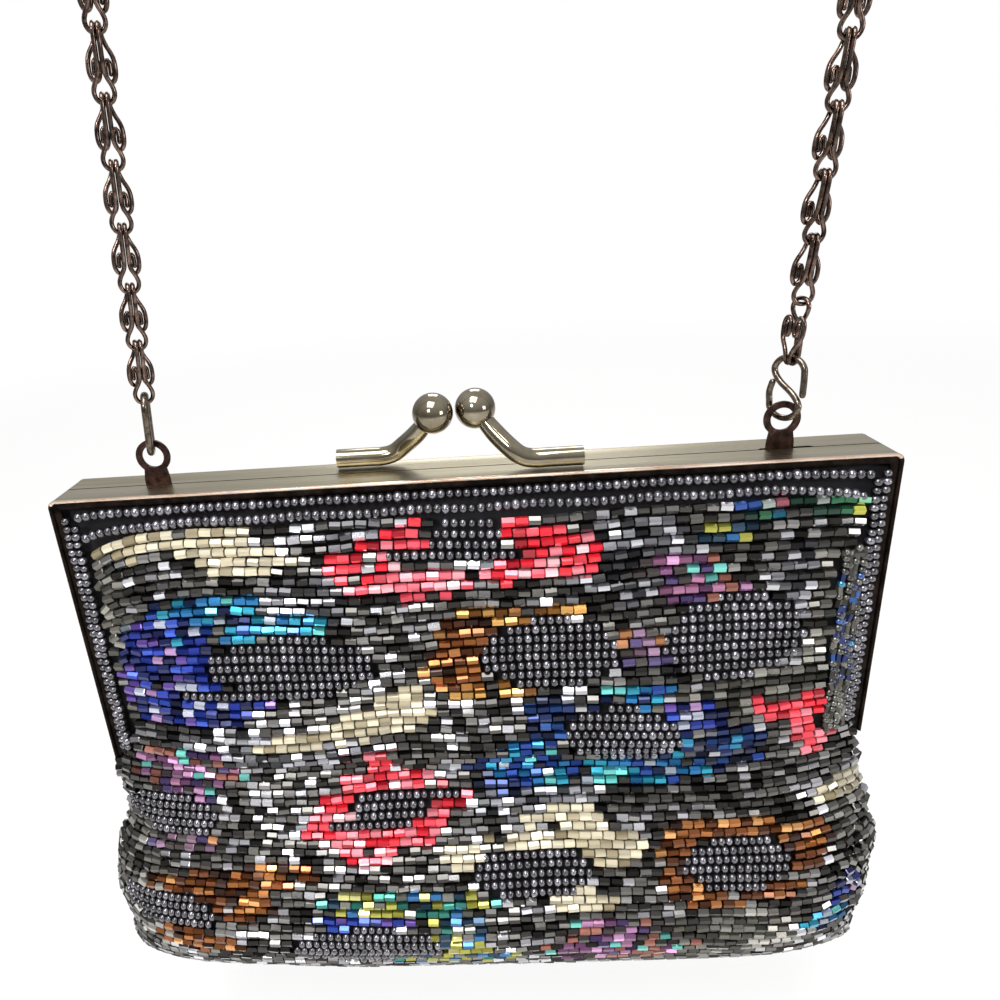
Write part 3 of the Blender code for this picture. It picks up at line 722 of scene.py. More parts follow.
@dataclass
class Fittings:
    """Clasp balls on their rods, hinge rivets and the sheet eyes of the strap.

    rod_mm is the rod's straight part and the start of its bend, as distances along and up
    from the bend; the two knots of rod_up_mm lead up to the ball. square_mm is how far
    behind its square end the cap's rings lie. rivet_mm is the rivet's profile, as radius
    and distance outward.
    """

    shop: Workshop
    ball_radius: float = 0.0046
    ball_height: float = 0.0134
    ball_gap: float = 0.175 * MM
    ball_cross: float = 1.1 * MM
    clasp_left: float = 1.1 * MM
    rod_radius: float = 0.0022
    rod_rise: float = 0.3 * MM
    rod_reach: float = 12.0 * MM
    rod_taper: float = 0.16
    rod_taper_from: float = 0.75
    rod_inward: float = 0.9
    rod_bevel: float = 0.93
    rod_sides: int = 28
    half_depth: float = 0.0077
    seam: float = 0.15 * MM
    rod_mm: tuple = ((-11.5, 0.0), (-4.0, 0.0), (-0.6, 0.0), (2.1, 0.6))
    rod_up_mm: tuple = ((4.4, 2.3), (4.2, 5.9))
    square_mm: tuple = (0.0, 0.0, 0.12)
    eye_x: float = 0.0714
    eye_height: float = 0.0070
    eye_radius: float = 0.0040
    eye_hole: float = 0.00255
    eye_neck: float = 2.6 * MM
    eye_foot: float = 3.0 * MM
    eye_low: float = -2.1 * MM
    eye_shoulder: float = 1.6 * MM
    eye_thick: float = 0.4 * MM
    eye_bevel: float = 0.09 * MM
    foot_y: tuple = (0.2 * MM, 2.0 * MM)
    foot_thick: float = 0.8 * MM
    hinge_z: float = -0.0704
    rivet_inside: float = 92.4 * MM
    rivet_mm: tuple = (
        (0.2, -0.6), (1.3, -0.5), (1.68, -0.25), (1.68, 0.0), (1.1, 0.05), (1.1, 2.85), (2.0, 2.9),
        (2.1, 3.05), (1.95, 3.3), (1.5, 3.45), (0.8, 3.52), (0.2, 3.53))

    def knob(self, word: str, side: int) -> None:
        """A rod along the plate that bends up to its ball and grows thinner there.

        The rod's far end is cut square: the two inner rings of its round cap are laid into
        one plane, and the outer one is opened to the rod's full radius just behind it.

        Args:
            word: The side's name.
            side: -1 for the front, 1 for the back.
        """
        plate_y, ball_y = side * 0.5 * (self.half_depth + self.seam), -side * self.ball_cross
        ball_x = -self.clasp_left - side * (self.ball_radius + self.ball_gap)
        bend, z = ball_x - side * self.rod_reach, self.rod_radius + self.rod_rise
        knots = [(bend + side * along * MM, plate_y, z + up * MM) for along, up in self.rod_mm]
        (first, low), (second, high) = self.rod_up_mm
        inner_y = plate_y * self.rod_inward
        knots += [(bend + side * first * MM, inner_y, z + low * MM),
                  ((bend + side * second * MM + ball_x) / 2, (inner_y + ball_y) / 2, z + high * MM),
                  (ball_x, ball_y, self.ball_height)]
        path = even(through(np.array(knots), 8), 46)
        share = (np.linspace(0, 1, len(path)) - self.rod_taper_from) / (1 - self.rod_taper_from)
        radius = self.rod_radius * (1 - self.rod_taper * np.clip(share, 0, 1))
        points, faces = tube(path[1:], radius[1:], self.rod_sides)
        end, rings = path[0], points[:3 * self.rod_sides].reshape(3, self.rod_sides, 3)
        rings[:, :, 0] = end[0] + side * np.array(self.square_mm)[:, None] * MM
        rings[1, :, 1:] = end[1:] + (rings[2, :, 1:] - end[1:]) * self.rod_bevel
        rings[2, :, 1:] = end[1:] + unit(rings[2, :, 1:] - end[1:]) * self.rod_radius
        ball_points, ball_faces = turned(self.ball_radius * np.stack(arc(-89, 89, 33), 1), 48)
        ball = (placed(ball_points, shift(ball_x, ball_y, self.ball_height)), ball_faces)
        shape = joined([(points, faces), ball])
        piece = self.shop.piece(f"{word}_clasp_ball_and_rod", shape, 50, Finish.KNOB)
        self.shop.tie(piece, "polished_nickel", f"{word}_half", f"{word}_clasp_knob")

    def eye(self, word: str, end: int) -> None:
        """A flat sheet eye: a band from its hole to its outline, bevelled, with a turned foot.

        Args:
            word: The side's name.
            end: -1 for the left, 1 for the right.
        """
        foot, low, r = self.eye_foot, self.eye_low, self.eye_radius
        start = np.arcsin(self.eye_neck / r)
        sweep = np.linspace(start - np.pi / 2, 1.5 * np.pi - start, 40)
        head = np.stack([r * np.cos(sweep), self.eye_height + r * np.sin(sweep)], 1)
        outline = np.concatenate([[(0.0, low), (foot, low), (foot, self.eye_shoulder)], head,
                                  [(-foot, self.eye_shoulder), (-foot, low)]])
        outer = even(outline, 120, closed=True)
        middle = np.array([0, self.eye_height])
        inner = middle + self.eye_hole * unit(outer - middle)
        t, e = self.eye_thick, self.eye_bevel
        share, y = np.array([(0.0, -t + e), (0.04, -t), (0.96, -t), (1.0, -t + e), (1.0, t - e), (0.96, t),
                             (0.04, t), (0.0, t - e)]).T
        band = inner[:, None, :] * (1 - share[:, None]) + outer[:, None, :] * share[:, None]
        points = np.stack([end * self.eye_x + band[..., 0], np.broadcast_to(y, band.shape[:2]),
                           band[..., 1]], -1)
        sheet = (points.reshape(-1, 3), [grid_faces(len(outer), len(share), True, True)])
        turned_foot = block((end * self.eye_x - foot, end * self.eye_x + foot), self.foot_y,
                            (low, low + self.foot_thick))
        piece = self.shop.piece(f"{word}_sheet_eye", joined([sheet, turned_foot]), 40, Finish.COPPER)
        self.shop.tie(piece, "worn_copper_sheet", "back_half", f"{word}_strap_eye")

    def rivet(self, word: str, end: int) -> None:
        """A domed rivet through the lugs, turned about X.

        Args:
            word: The side's name.
            end: -1 for the left, 1 for the right.
        """
        points, faces = turned(np.array(self.rivet_mm) * MM, 36)
        lay = shift(end * self.rivet_inside, 0, self.hinge_z) @ turn_about("Y", 90 * end)
        piece = self.shop.piece(f"{word}_domed_rivet", (placed(points, lay), faces), 40, Finish.NICKEL)
        self.shop.tie(piece, "polished_nickel", "back_half", f"{word}_hinge_rivet")

    def build(self) -> None:
        """Make every fitting."""
        for word, side in (("front", -1), ("back", 1)):
            self.knob(word, side)
        for word, end in (("left", -1), ("right", 1)):
            self.eye(word, end)
            self.rivet(word, end)


@dataclass
class StrapChain:
    """The strap: wire links with scrolls, the ring, the S hook and the joining ring.

    loop_mm and scroll_mm are the knots of half a link's wire, from the bottom of its loop
    to the knuckle and from the knuckle round the scroll. Heights along a strand are from
    the middle of the eye's rim. hook_ends and hook_bar are knots in widths of the hook's
    bend, the bar's height as a share of the way up. left_turn is the first link's turn in
    degrees and what each row adds; right_turn is a middle value, a swing and its pace.
    """

    shop: Workshop
    wire: float = 0.000475
    pitch: float = 0.0121
    knuckle: float = 0.00135
    strand_half: float = 0.5 * MM
    lift: float = 0.00035
    lean: float = 0.077
    rows: int = 7
    arch: int = 9
    eye_spacing: float = 0.1428
    eye_rim: float = 0.01015
    rim_half: float = 0.00093941
    gap: float = 0.0003
    ring_wire: float = 0.00085
    ring_length: float = 0.0133
    ring_width: float = 0.0056
    ring_turn: float = 18.0
    hook_wire: float = 0.00065
    hook_plating: float = 0.00005
    hook_bend: float = 0.0030
    hook_turn: float = -58.0
    hook_slack: float = 0.0010
    hook_spread: float = 1.2
    hook_ends: tuple = ((-1.0, 1.45), (-1.1, 0.7), (1.07, -0.7), (1.12, -1.5))
    hook_bar: tuple = ((0.84, 0.18), (0.4, 0.38), (-0.4, 0.62), (-0.84, 0.82))
    left_turn: tuple = (210, -3)
    right_turn: tuple = (171, 9, 0.8)
    first_right_turn: float = -4
    join_radius: float = 0.0032
    join_wire: float = 0.0006
    loop_mm: tuple = (
        (1.05, 0.0, 0.24), (1.72, 0.0, 1.05), (1.90, 0.02, 2.15), (1.52, 0.12, 3.35), (0.95, 0.35, 4.4),
        (0.56, 0.65, 5.6), (0.50, 1.0, 7.5), (0.50, 1.3, 10.2))
    scroll_mm: tuple = (
        (0.78, -1.36, 11.3), (1.30, -1.30, 10.1), (1.88, -1.18, 9.1), (2.32, -1.06, 8.0), (2.48, -1.0, 6.7),
        (2.42, -1.02, 5.3), (2.05, -1.12, 4.3), (1.50, -1.22, 3.9), (0.95, -1.3, 4.25), (0.60, -1.36, 5.1),
        (0.55, -1.42, 6.2), (0.66, -1.46, 7.3), (1.05, -1.5, 7.85), (1.44, -1.5, 7.4), (1.53, -1.48, 6.4),
        (1.52, -1.42, 5.4))

    def __post_init__(self) -> None:
        """Work out where the ring, the first link and the hook begin and end along a strand."""
        self.ring_low = -(self.rim_half + self.gap + self.ring_wire)
        self.ring_high = self.ring_low + self.ring_length
        self.first = self.ring_high - self.ring_wire - self.gap - self.wire
        self.loop_step = 2 * self.wire + self.gap
        self.hook_low = -(self.rim_half + self.gap + self.hook_slack + self.hook_wire)
        self.hook_high = self.first + self.loop_step - self.lift

    def link_path(self) -> np.ndarray:
        """The wire of one link: drop shaped loop, two legs, knuckle, and a scroll wound in on itself.

        The right half runs through the knots; the left half is its mirror image. The
        knuckle is the arc (x, k cos a, crown + k sin a).
        """
        c, s = arc(0, 180, 7)
        k = self.knuckle
        over = np.stack([np.full(len(c), self.strand_half), k * c, self.pitch + self.lift + k * s], 1)
        half = np.concatenate([np.array(self.loop_mm) * MM, over, np.array(self.scroll_mm) * MM])
        whole = np.concatenate([(half * np.array([-1, 1, 1]))[::-1], [(0.0, 0.0, 0.0)], half])
        return even(through(whole, 6), 170)

    def strand(self, end: int, along: float, turn: float) -> np.ndarray:
        """Local axes on a strand at a distance from the eye's rim, turned about the strand.

        Args:
            end: -1 for the left, 1 for the right.
            along: Distance from the eye's rim.
            turn: The turn in degrees.

        Returns:
            A 4 by 4 matrix.
        """
        slope = np.hypot(1, self.lean)
        at = shift(end * self.eye_spacing / 2 + along * self.lean / slope, 0, self.eye_rim + along / slope)
        return at @ turn_about("Y", np.degrees(np.arctan2(self.lean, 1))) @ turn_about("Z", turn)

    def turn_of(self, end: int, level: int) -> float:
        """How far a link is turned about its strand, in degrees: near half a turn, and wandering.

        Args:
            end: -1 for the left, 1 for the right.
            level: The link's row, from 0 at the eye.

        Returns:
            The turn.
        """
        if end < 0:
            return self.left_turn[0] + self.left_turn[1] * level
        if level == 0:
            return self.hook_turn + self.first_right_turn
        middle, swing, pace = self.right_turn
        return middle + swing * float(np.sin(pace * level))

    def arch_point(self, turn: np.ndarray, rise: float) -> np.ndarray:
        """The leaning half ellipse (c - s/2 cos t + lean r sin t, f + r sin t) of the arch.

        Args:
            turn: The angle t, from 0 at the left foot to pi at the right one.
            rise: The arch's height r.

        Returns:
            Places in the bag's own axes.
        """
        foot = self.strand(-1, self.first + self.rows * self.pitch, 0)[:3, 3]
        x = foot[0] + self.eye_spacing / 2 * (1 - np.cos(turn)) + self.lean * rise * np.sin(turn)
        return np.stack([x, 0 * turn, foot[2] + rise * np.sin(turn)], axis=-1)

    def arch_turns(self, rise: float) -> list:
        """Where the links of the arch meet: each chord is one pitch, the middle one the ring.

        Args:
            rise: The arch's height.

        Returns:
            The angle t of each joint between links.
        """
        fine = np.linspace(0, np.pi * 1.3, 60001)
        window = 9000
        points = self.arch_point(fine, rise)
        at, turns = 0, [0.0]
        for chord in [self.pitch] * self.arch + [2 * self.join_radius] + [self.pitch] * self.arch:
            far = np.linalg.norm(points[at:at + window] - points[at], axis=1)
            at += int(np.argmax(far >= chord))
            turns.append(float(fine[at]))
        return turns

    def rise(self) -> float:
        """The arch's height at which the links just reach from strand to strand, by halving."""
        low, high = self.eye_spacing / 4, self.eye_spacing
        for _ in range(24):
            middle = (low + high) / 2
            low, high = (middle, high) if self.arch_turns(middle)[-1] > np.pi else (low, middle)
        return (low + high) / 2

    def between(self, start: np.ndarray, end: np.ndarray) -> np.ndarray:
        """Local axes of a link from start to end in the plane of the strap.

        Args:
            start: Where its loop is.
            end: Where the next link's loop is.

        Returns:
            A 4 by 4 matrix.
        """
        up = unit(end - start)
        back = np.array([0.0, -1.0, 0.0])
        made = np.eye(4)
        made[:3, :3] = np.stack([np.cross(back, up), back, up], axis=1)
        made[:3, 3] = start
        return made

    def wire_piece(self, name: str, shape: tuple, finish: Finish, body: str, node: str) -> None:
        """A piece of wire, dressed and tied."""
        self.shop.tie(self.shop.piece(name, shape, 60, finish), "bronzed_wire", body, node)

    def link(self, name: str, matrix: np.ndarray, body: str) -> None:
        """One link in its place."""
        shape = tube(placed(self.link_path(), matrix), self.wire, 9)
        self.wire_piece(name + "_wire", shape, Finish.BRONZE, body, name)

    def oval_ring(self) -> None:
        """The oval ring in the left eye: two half circles and the straight runs between them."""
        r = self.ring_width / 2
        halves = []
        for start, height in ((180, self.ring_low + r), (0, self.ring_high - r)):
            c, s = arc(start, start + 180, 14)
            halves.append(np.stack([0 * c, r * c, height + r * s], 1))
        path = placed(even(np.concatenate(halves), 90, True), self.strand(-1, 0, self.ring_turn))
        shape = tube(path, self.ring_wire, 12, closed=True)
        self.wire_piece("oval_jump_ring", shape, Finish.RING, "strap_ends", "jump_ring")

    def s_hook(self) -> None:
        """The open S hook in the right eye: two arcs, the slanted bar between them and two open ends."""
        bend, low, high = self.hook_bend, self.hook_low + self.hook_bend, self.hook_high - self.hook_bend
        (c_low, s_low), (c_high, s_high) = arc(180, 360, 9), arc(180, 0, 9)
        knots = np.concatenate([
            [(bend * across, low + bend * up) for across, up in self.hook_ends[:2]],
            np.stack([bend * c_low, low + bend * s_low], 1),
            [(bend * across, low + (high - low) * up) for across, up in self.hook_bar],
            np.stack([bend * c_high, high + bend * s_high], 1),
            [(bend * across, high + bend * up) for across, up in self.hook_ends[2:]]])
        x, z = even(through(knots * np.array([self.hook_spread, 1.0]), 8), 110).T
        path = placed(np.stack([x, 0 * x, z], 1), self.strand(1, 0, self.hook_turn))
        shape = tube(path, self.hook_wire + self.hook_plating, 12)
        self.wire_piece("open_s_hook", shape, Finish.RING, "strap_ends", "s_hook")

    def joining_ring(self, middle: np.ndarray) -> None:
        """The round ring that joins the two lengths of the strap at the top.

        Args:
            middle: Its middle.
        """
        a = np.arange(64) * TAU / 64
        circle = middle + self.join_radius * np.stack([np.cos(a), 0 * a, np.sin(a)], 1)
        shape = tube(circle, self.join_wire, 12, closed=True)
        self.wire_piece("round_joining_ring", shape, Finish.RING, "strap_arch", "joining_ring")

    def build(self) -> None:
        """Make every link and ring of the strap; the right strand's first link hangs upside down."""
        for end, word in ((-1, "left"), (1, "right")):
            for level in range(self.rows):
                upside_down = end > 0 and level == 0
                along = self.first + level * self.pitch
                if upside_down:
                    along += self.pitch + self.loop_step
                matrix = self.strand(end, along, self.turn_of(end, level))
                if upside_down:
                    matrix = matrix @ turn_about("Y", 180)
                body = "strap_ends" if level == 0 else f"strap_row_{level + 1}"
                self.link(f"{word}_link_{level + 1}", matrix, body)
        rise = self.rise()
        places = self.arch_point(np.array(self.arch_turns(rise)), rise)
        for i in range(self.arch):
            self.link(f"arch_left_link_{i + 1}", self.between(places[i], places[i + 1]), "strap_arch")
            self.link(f"arch_right_link_{i + 1}", self.between(places[-1 - i], places[-2 - i]), "strap_arch")
        self.joining_ring((places[self.arch] + places[self.arch + 1]) / 2)
        self.oval_ring()
        self.s_hook()


def monotone(x: np.ndarray, knots: np.ndarray, values: np.ndarray) -> np.ndarray:
    """A smooth curve through (knots, values) that makes no new bumps.

    Between two knots y = h00 y0 + h10 w m0 + h01 y1 + h11 w m1, with each slope m
    the harmonic mean of its two neighbours' slopes, or 0 where they differ in sign.

    Args:
        x: Where it is worked out.
        knots: Rising places.
        values: The values there.

    Returns:
        The curve's values at x.
    """
    w = np.diff(knots)
    d = np.diff(values) / w
    same = d[1:] * d[:-1] > 0
    safe = np.where(same, d[1:] * d[:-1] * 2 / np.where(same, d[1:] + d[:-1], 1), 0)
    m = np.concatenate([d[:1], safe, d[-1:]])
    i = np.clip(np.searchsorted(knots, x, side="right") - 1, 0, len(w) - 1)
    t = np.clip((x - knots[i]) / w[i], 0, 1)
    h00, h10 = (1 + 2 * t) * (1 - t) ** 2, t * (1 - t) ** 2
    h01, h11 = t ** 2 * (3 - 2 * t), t ** 2 * (t - 1)
    return h00 * values[i] + h10 * w[i] * m[i] + h01 * values[i + 1] + h11 * w[i] * m[i + 1]


@dataclass
class PouchForm:
    """The shape of the pouch: half width, bulge and side edge against the depth below the top.

    upper rows are shares of the arm's length and of the bulge. lower rows are shares of the
    drop below the arms, of the bulge, of the flare and of the pocket's edge. side_waves_mm
    is the depth with the outline's bump on the left and on the right. Each fold is a wave
    with its number across and down the bag, its phase and its height; they fade in over
    fold_in below fold_from and out over fold_out above the bottom.
    """

    arm: float = 0.0724
    top: float = 0.0013
    lip_foot: float = 0.0035
    half_width: float = 0.0937
    pocket: float = 0.0061
    drop: float = 0.0756
    flare: float = 0.0138
    bulge: float = 0.0150
    edge: float = 0.0010
    flat: float = 0.0028
    power: float = 3.2
    flatter: float = 4.5
    exponent: float = 0.62
    raised: float = 0.0019
    raised_from_mm: float = 35.0
    fold_depth: float = 0.8 * MM
    fold_from: float = 0.02
    fold_in: float = 0.05
    fold_out: float = 0.03
    folds: tuple = ((62, 45, 1.0, 0.5), (-21, 130, 0.7, 0.5), (118, -60, 2.1, 0.35))
    upper: tuple = ((0.00, 0.00), (0.05, 0.12), (0.14, 0.22), (0.38, 0.34), (0.68, 0.44), (0.93, 0.52))
    lower: tuple = (
        (0.01, 0.54, 0.10, 1.00), (0.12, 0.64, 0.20, 0.55), (0.23, 0.74, 0.32, 0.25),
        (0.35, 0.84, 0.60, 0.10), (0.50, 0.96, 0.88, 0.02), (0.65, 1.00, 1.00, 0.00),
        (0.81, 0.80, 0.92, 0.00), (0.92, 0.47, 0.86, 0.00), (0.98, 0.20, 0.76, 0.00),
        (1.00, 0.06, 0.50, 0.00))
    side_waves_mm: tuple = (
        (0.0, 0.0, 0.0), (74.0, 0.0, 0.0), (83.0, -0.7, 0.7), (89.0, -1.8, -0.4), (94.5, -3.5, 0.6),
        (100.0, -2.4, -1.1), (105.6, -2.9, -0.9), (111.0, -3.2, -1.8), (116.7, -3.1, -4.0),
        (126.0, -4.9, -4.4), (131.0, -4.6, -5.2), (136.0, -2.6, -5.0), (141.0, -2.0, -3.5),
        (148.0, -1.0, -1.2))

    def __post_init__(self) -> None:
        """Lay out the rows of the form, each as depth, half width, bulge, edge and flat margin."""
        rows = [(self.top, self.half_width, self.pocket, self.pocket, self.flat)]
        for share, swell in self.upper:
            z = self.lip_foot + share * (self.arm - self.lip_foot)
            rows.append((z, self.half_width, self.pocket + swell * self.bulge, self.pocket, self.flat))
        for share, swell, wide, rim in self.lower:
            edge = self.edge + rim * (self.pocket - self.edge)
            deep = max(self.edge + swell * (self.pocket + self.bulge), edge)
            rows.append((self.arm + share * self.drop, self.half_width + wide * self.flare, deep, edge,
                         self.flat * rim))
        self.rows = np.array(rows)
        self.waves = np.array(self.side_waves_mm) * MM
        self.bottom = self.arm + self.drop

    def point(self, u: np.ndarray, depth: np.ndarray, side: int, inset: float = 0.0) -> np.ndarray:
        """The surface: x = w u, y = e + (b - e)(1 - |u|^p)^q less soft folds, z = -depth.

        The lower left corner is raised, and the outline's bumps widen or narrow w by |u|^3.

        Args:
            u: Place across the bag, from -1 to 1.
            depth: Distance below the top plate, positive downwards.
            side: -1 for the front, 1 for the back.
            inset: How far inside the outermost surface.

        Returns:
            Places in the bag's own axes.
        """
        u, depth = np.broadcast_arrays(np.asarray(u, dtype=float), np.asarray(depth, dtype=float))
        wide, deep, rim, flat = (monotone(depth, self.rows[:, 0], self.rows[:, k]) for k in (1, 2, 3, 4))
        left, right = (monotone(depth, self.waves[:, 0], self.waves[:, k]) for k in (1, 2))
        wide = wide + np.where(u < 0, left, right) * np.abs(u) ** 3 - inset
        deep, rim = np.maximum(deep - inset, self.edge / 2), np.maximum(rim - inset, self.edge / 2)
        below = np.clip((depth - self.arm) / self.drop, 0, 1) ** 2
        reach = np.clip(np.abs(u) * wide / (wide - flat), 0, 1)
        swell = (1 - reach ** (self.power + self.flatter * below)) ** self.exponent
        x = wide * u
        free = (np.clip((depth - self.fold_from) / self.fold_in, 0, 1)
                * np.clip((self.bottom - depth) / self.fold_out, 0, 1) * (1 - u ** 6))
        fold = sum(np.sin(x * across + depth * down + phase * side) * height
                   for across, down, phase, height in self.folds)
        y = rim + np.maximum(deep - rim, 0) * swell - self.fold_depth * free * (1 + fold) * 0.5
        lift = self.raised * below * np.clip((-x / MM - self.raised_from_mm) / self.raised_from_mm, 0, 1)
        return np.stack([x, side * y, lift - depth], axis=-1)

    def normal(self, u: np.ndarray, depth: np.ndarray, side: int, inset: float = 0.0) -> np.ndarray:
        """The outward direction, from the cross product of small steps along u and depth.

        Args:
            u: Place across the bag, from -1 to 1.
            depth: Distance below the top plate.
            side: -1 for the front, 1 for the back.
            inset: How far inside the outermost surface.

        Returns:
            Directions of length one.
        """
        du, dz = 0.002, 0.0004
        inside = np.clip(u, -1 + 2 * du, 1 - 2 * du)
        lower = np.clip(depth, self.top + dz, self.bottom - dz)
        along = self.point(inside + du, lower, side, inset) - self.point(inside - du, lower, side, inset)
        down = self.point(inside, lower + dz, side, inset) - self.point(inside, lower - dz, side, inset)
        return unit(np.cross(down, along) * side)


class Palette(Enum):
    """The lots of beads: how metallic their coating is, and (hex colour, share of the lot). In the tube-bead
    lots the palest shade, such as #CACAD0 in GUNMETAL and #D69C62 in COPPER, colours whole beads as flashes
    of the lamps: painted highlight.
    """

    GUNMETAL = (0.9, (("#23211F", 0.24), ("#3C3A37", 0.21), ("#5A5854", 0.19), ("#7E7C7A", 0.17),
                      ("#A4A3A7", 0.13), ("#CACAD0", 0.06)))
    SILVER = (0.9, (("#2C2C2E", 0.26), ("#515155", 0.22), ("#7C7C82", 0.20), ("#A6A6AC", 0.18),
                    ("#C8C8CF", 0.14)))
    OLIVE = (0.7, (("#2A2924", 0.30), ("#46443D", 0.30), ("#64615A", 0.22), ("#8A8780", 0.12),
                   ("#BAB8B0", 0.06)))
    CREAM = (0.1, (("#B5AC94", 0.35), ("#A0967C", 0.28), ("#C8BEA4", 0.22), ("#85795F", 0.08),
                   ("#D0C8B0", 0.07)))
    RED = (0.4, (("#CE2030", 0.34), ("#E04452", 0.25), ("#9A1624", 0.13), ("#DA7A86", 0.18),
                 ("#E4B4BA", 0.10)))
    ROSE = (0.35, (("#DA6672", 0.28), ("#E89AA2", 0.28), ("#B83444", 0.22), ("#E6C0C6", 0.22)))
    TEAL = (0.8, (("#1B6294", 0.28), ("#2688A2", 0.20), ("#1A3A84", 0.18), ("#66C0BC", 0.12),
                  ("#141E44", 0.15), ("#8A94A0", 0.07)))
    BLUE = (0.75, (("#203490", 0.26), ("#16205A", 0.25), ("#3854B8", 0.12), ("#5A4290", 0.10),
                   ("#12173A", 0.13), ("#B08CBC", 0.09), ("#A8ACBE", 0.13)))
    NAVY = (0.8, (("#1C2A56", 0.28), ("#141A30", 0.27), ("#284A86", 0.18), ("#2E7CA2", 0.11),
                  ("#6C6C76", 0.16)))
    COPPER = (0.85, (("#76421E", 0.34), ("#502A12", 0.23), ("#9C6232", 0.18), ("#D69C62", 0.09),
                     ("#33201A", 0.16)))
    GOLD = (0.8, (("#A06C30", 0.35), ("#C69650", 0.22), ("#6E441C", 0.28), ("#E8D09C", 0.15)))
    GREEN = (0.75, (("#24553A", 0.20), ("#3C8A52", 0.12), ("#B4B048", 0.10), ("#22647C", 0.13),
                    ("#284888", 0.10), ("#1C352B", 0.18), ("#C0707C", 0.05), ("#7C8480", 0.12)))
    LIME = (0.7, (("#96943E", 0.20), ("#2C766A", 0.17), ("#2A5E8E", 0.18), ("#20384C", 0.22),
                  ("#C8C480", 0.08), ("#686A62", 0.15)))
    PURPLE = (0.7, (("#6C4468", 0.18), ("#92607E", 0.13), ("#40305A", 0.12), ("#CE98C4", 0.11),
                    ("#865246", 0.18), ("#66B4AA", 0.08), ("#332C2C", 0.20)))
    PINK = (0.7, (("#7C6074", 0.24), ("#A0809C", 0.16), ("#52466E", 0.16), ("#B47C54", 0.15),
                  ("#46423F", 0.29)))
    HEMATITE = (0.85, (("#57555B", 0.50), ("#3F3D43", 0.30), ("#7A7880", 0.20)))

    def pick(self, draws: np.ndarray) -> np.ndarray:
        """Linear colours and lustre for uniform draws from 0 to 1.

        Args:
            draws: The draws.

        Returns:
            Red, green, blue and lustre for each draw.
        """
        lustre, lot = self.value
        shares = np.cumsum([share for _, share in lot])
        colours = np.array([(*linear(colour)[:3], lustre) for colour, _ in lot])
        return colours[np.minimum(np.searchsorted(shares, draws * shares[-1]), len(colours) - 1)]


@dataclass(frozen=True)
class Spot:
    """A group of beads of one lot: a tilted ellipse on the pouch, in millimetres from its top middle."""

    palette: Palette
    x: float
    z: float
    wide: float
    high: float
    tilt: float = 0.0

    def holds(self, x: np.ndarray, z: np.ndarray, ragged: float) -> np.ndarray:
        """Whether places lie inside the ellipse (a / wide)^2 + (b / high)^2 < 1, its edge moved a little.

        Args:
            x: Places across, seen from that face.
            z: Heights, from the top plate.
            ragged: How much the edge is moved.

        Returns:
            True for each place inside.
        """
        c, s = np.cos(np.radians(self.tilt)), np.sin(np.radians(self.tilt))
        dx, dz = x / MM - self.x, z / MM - self.z
        return ((dx * c + dz * s) / self.wide) ** 2 + ((dz * c - dx * s) / self.high) ** 2 + ragged < 1


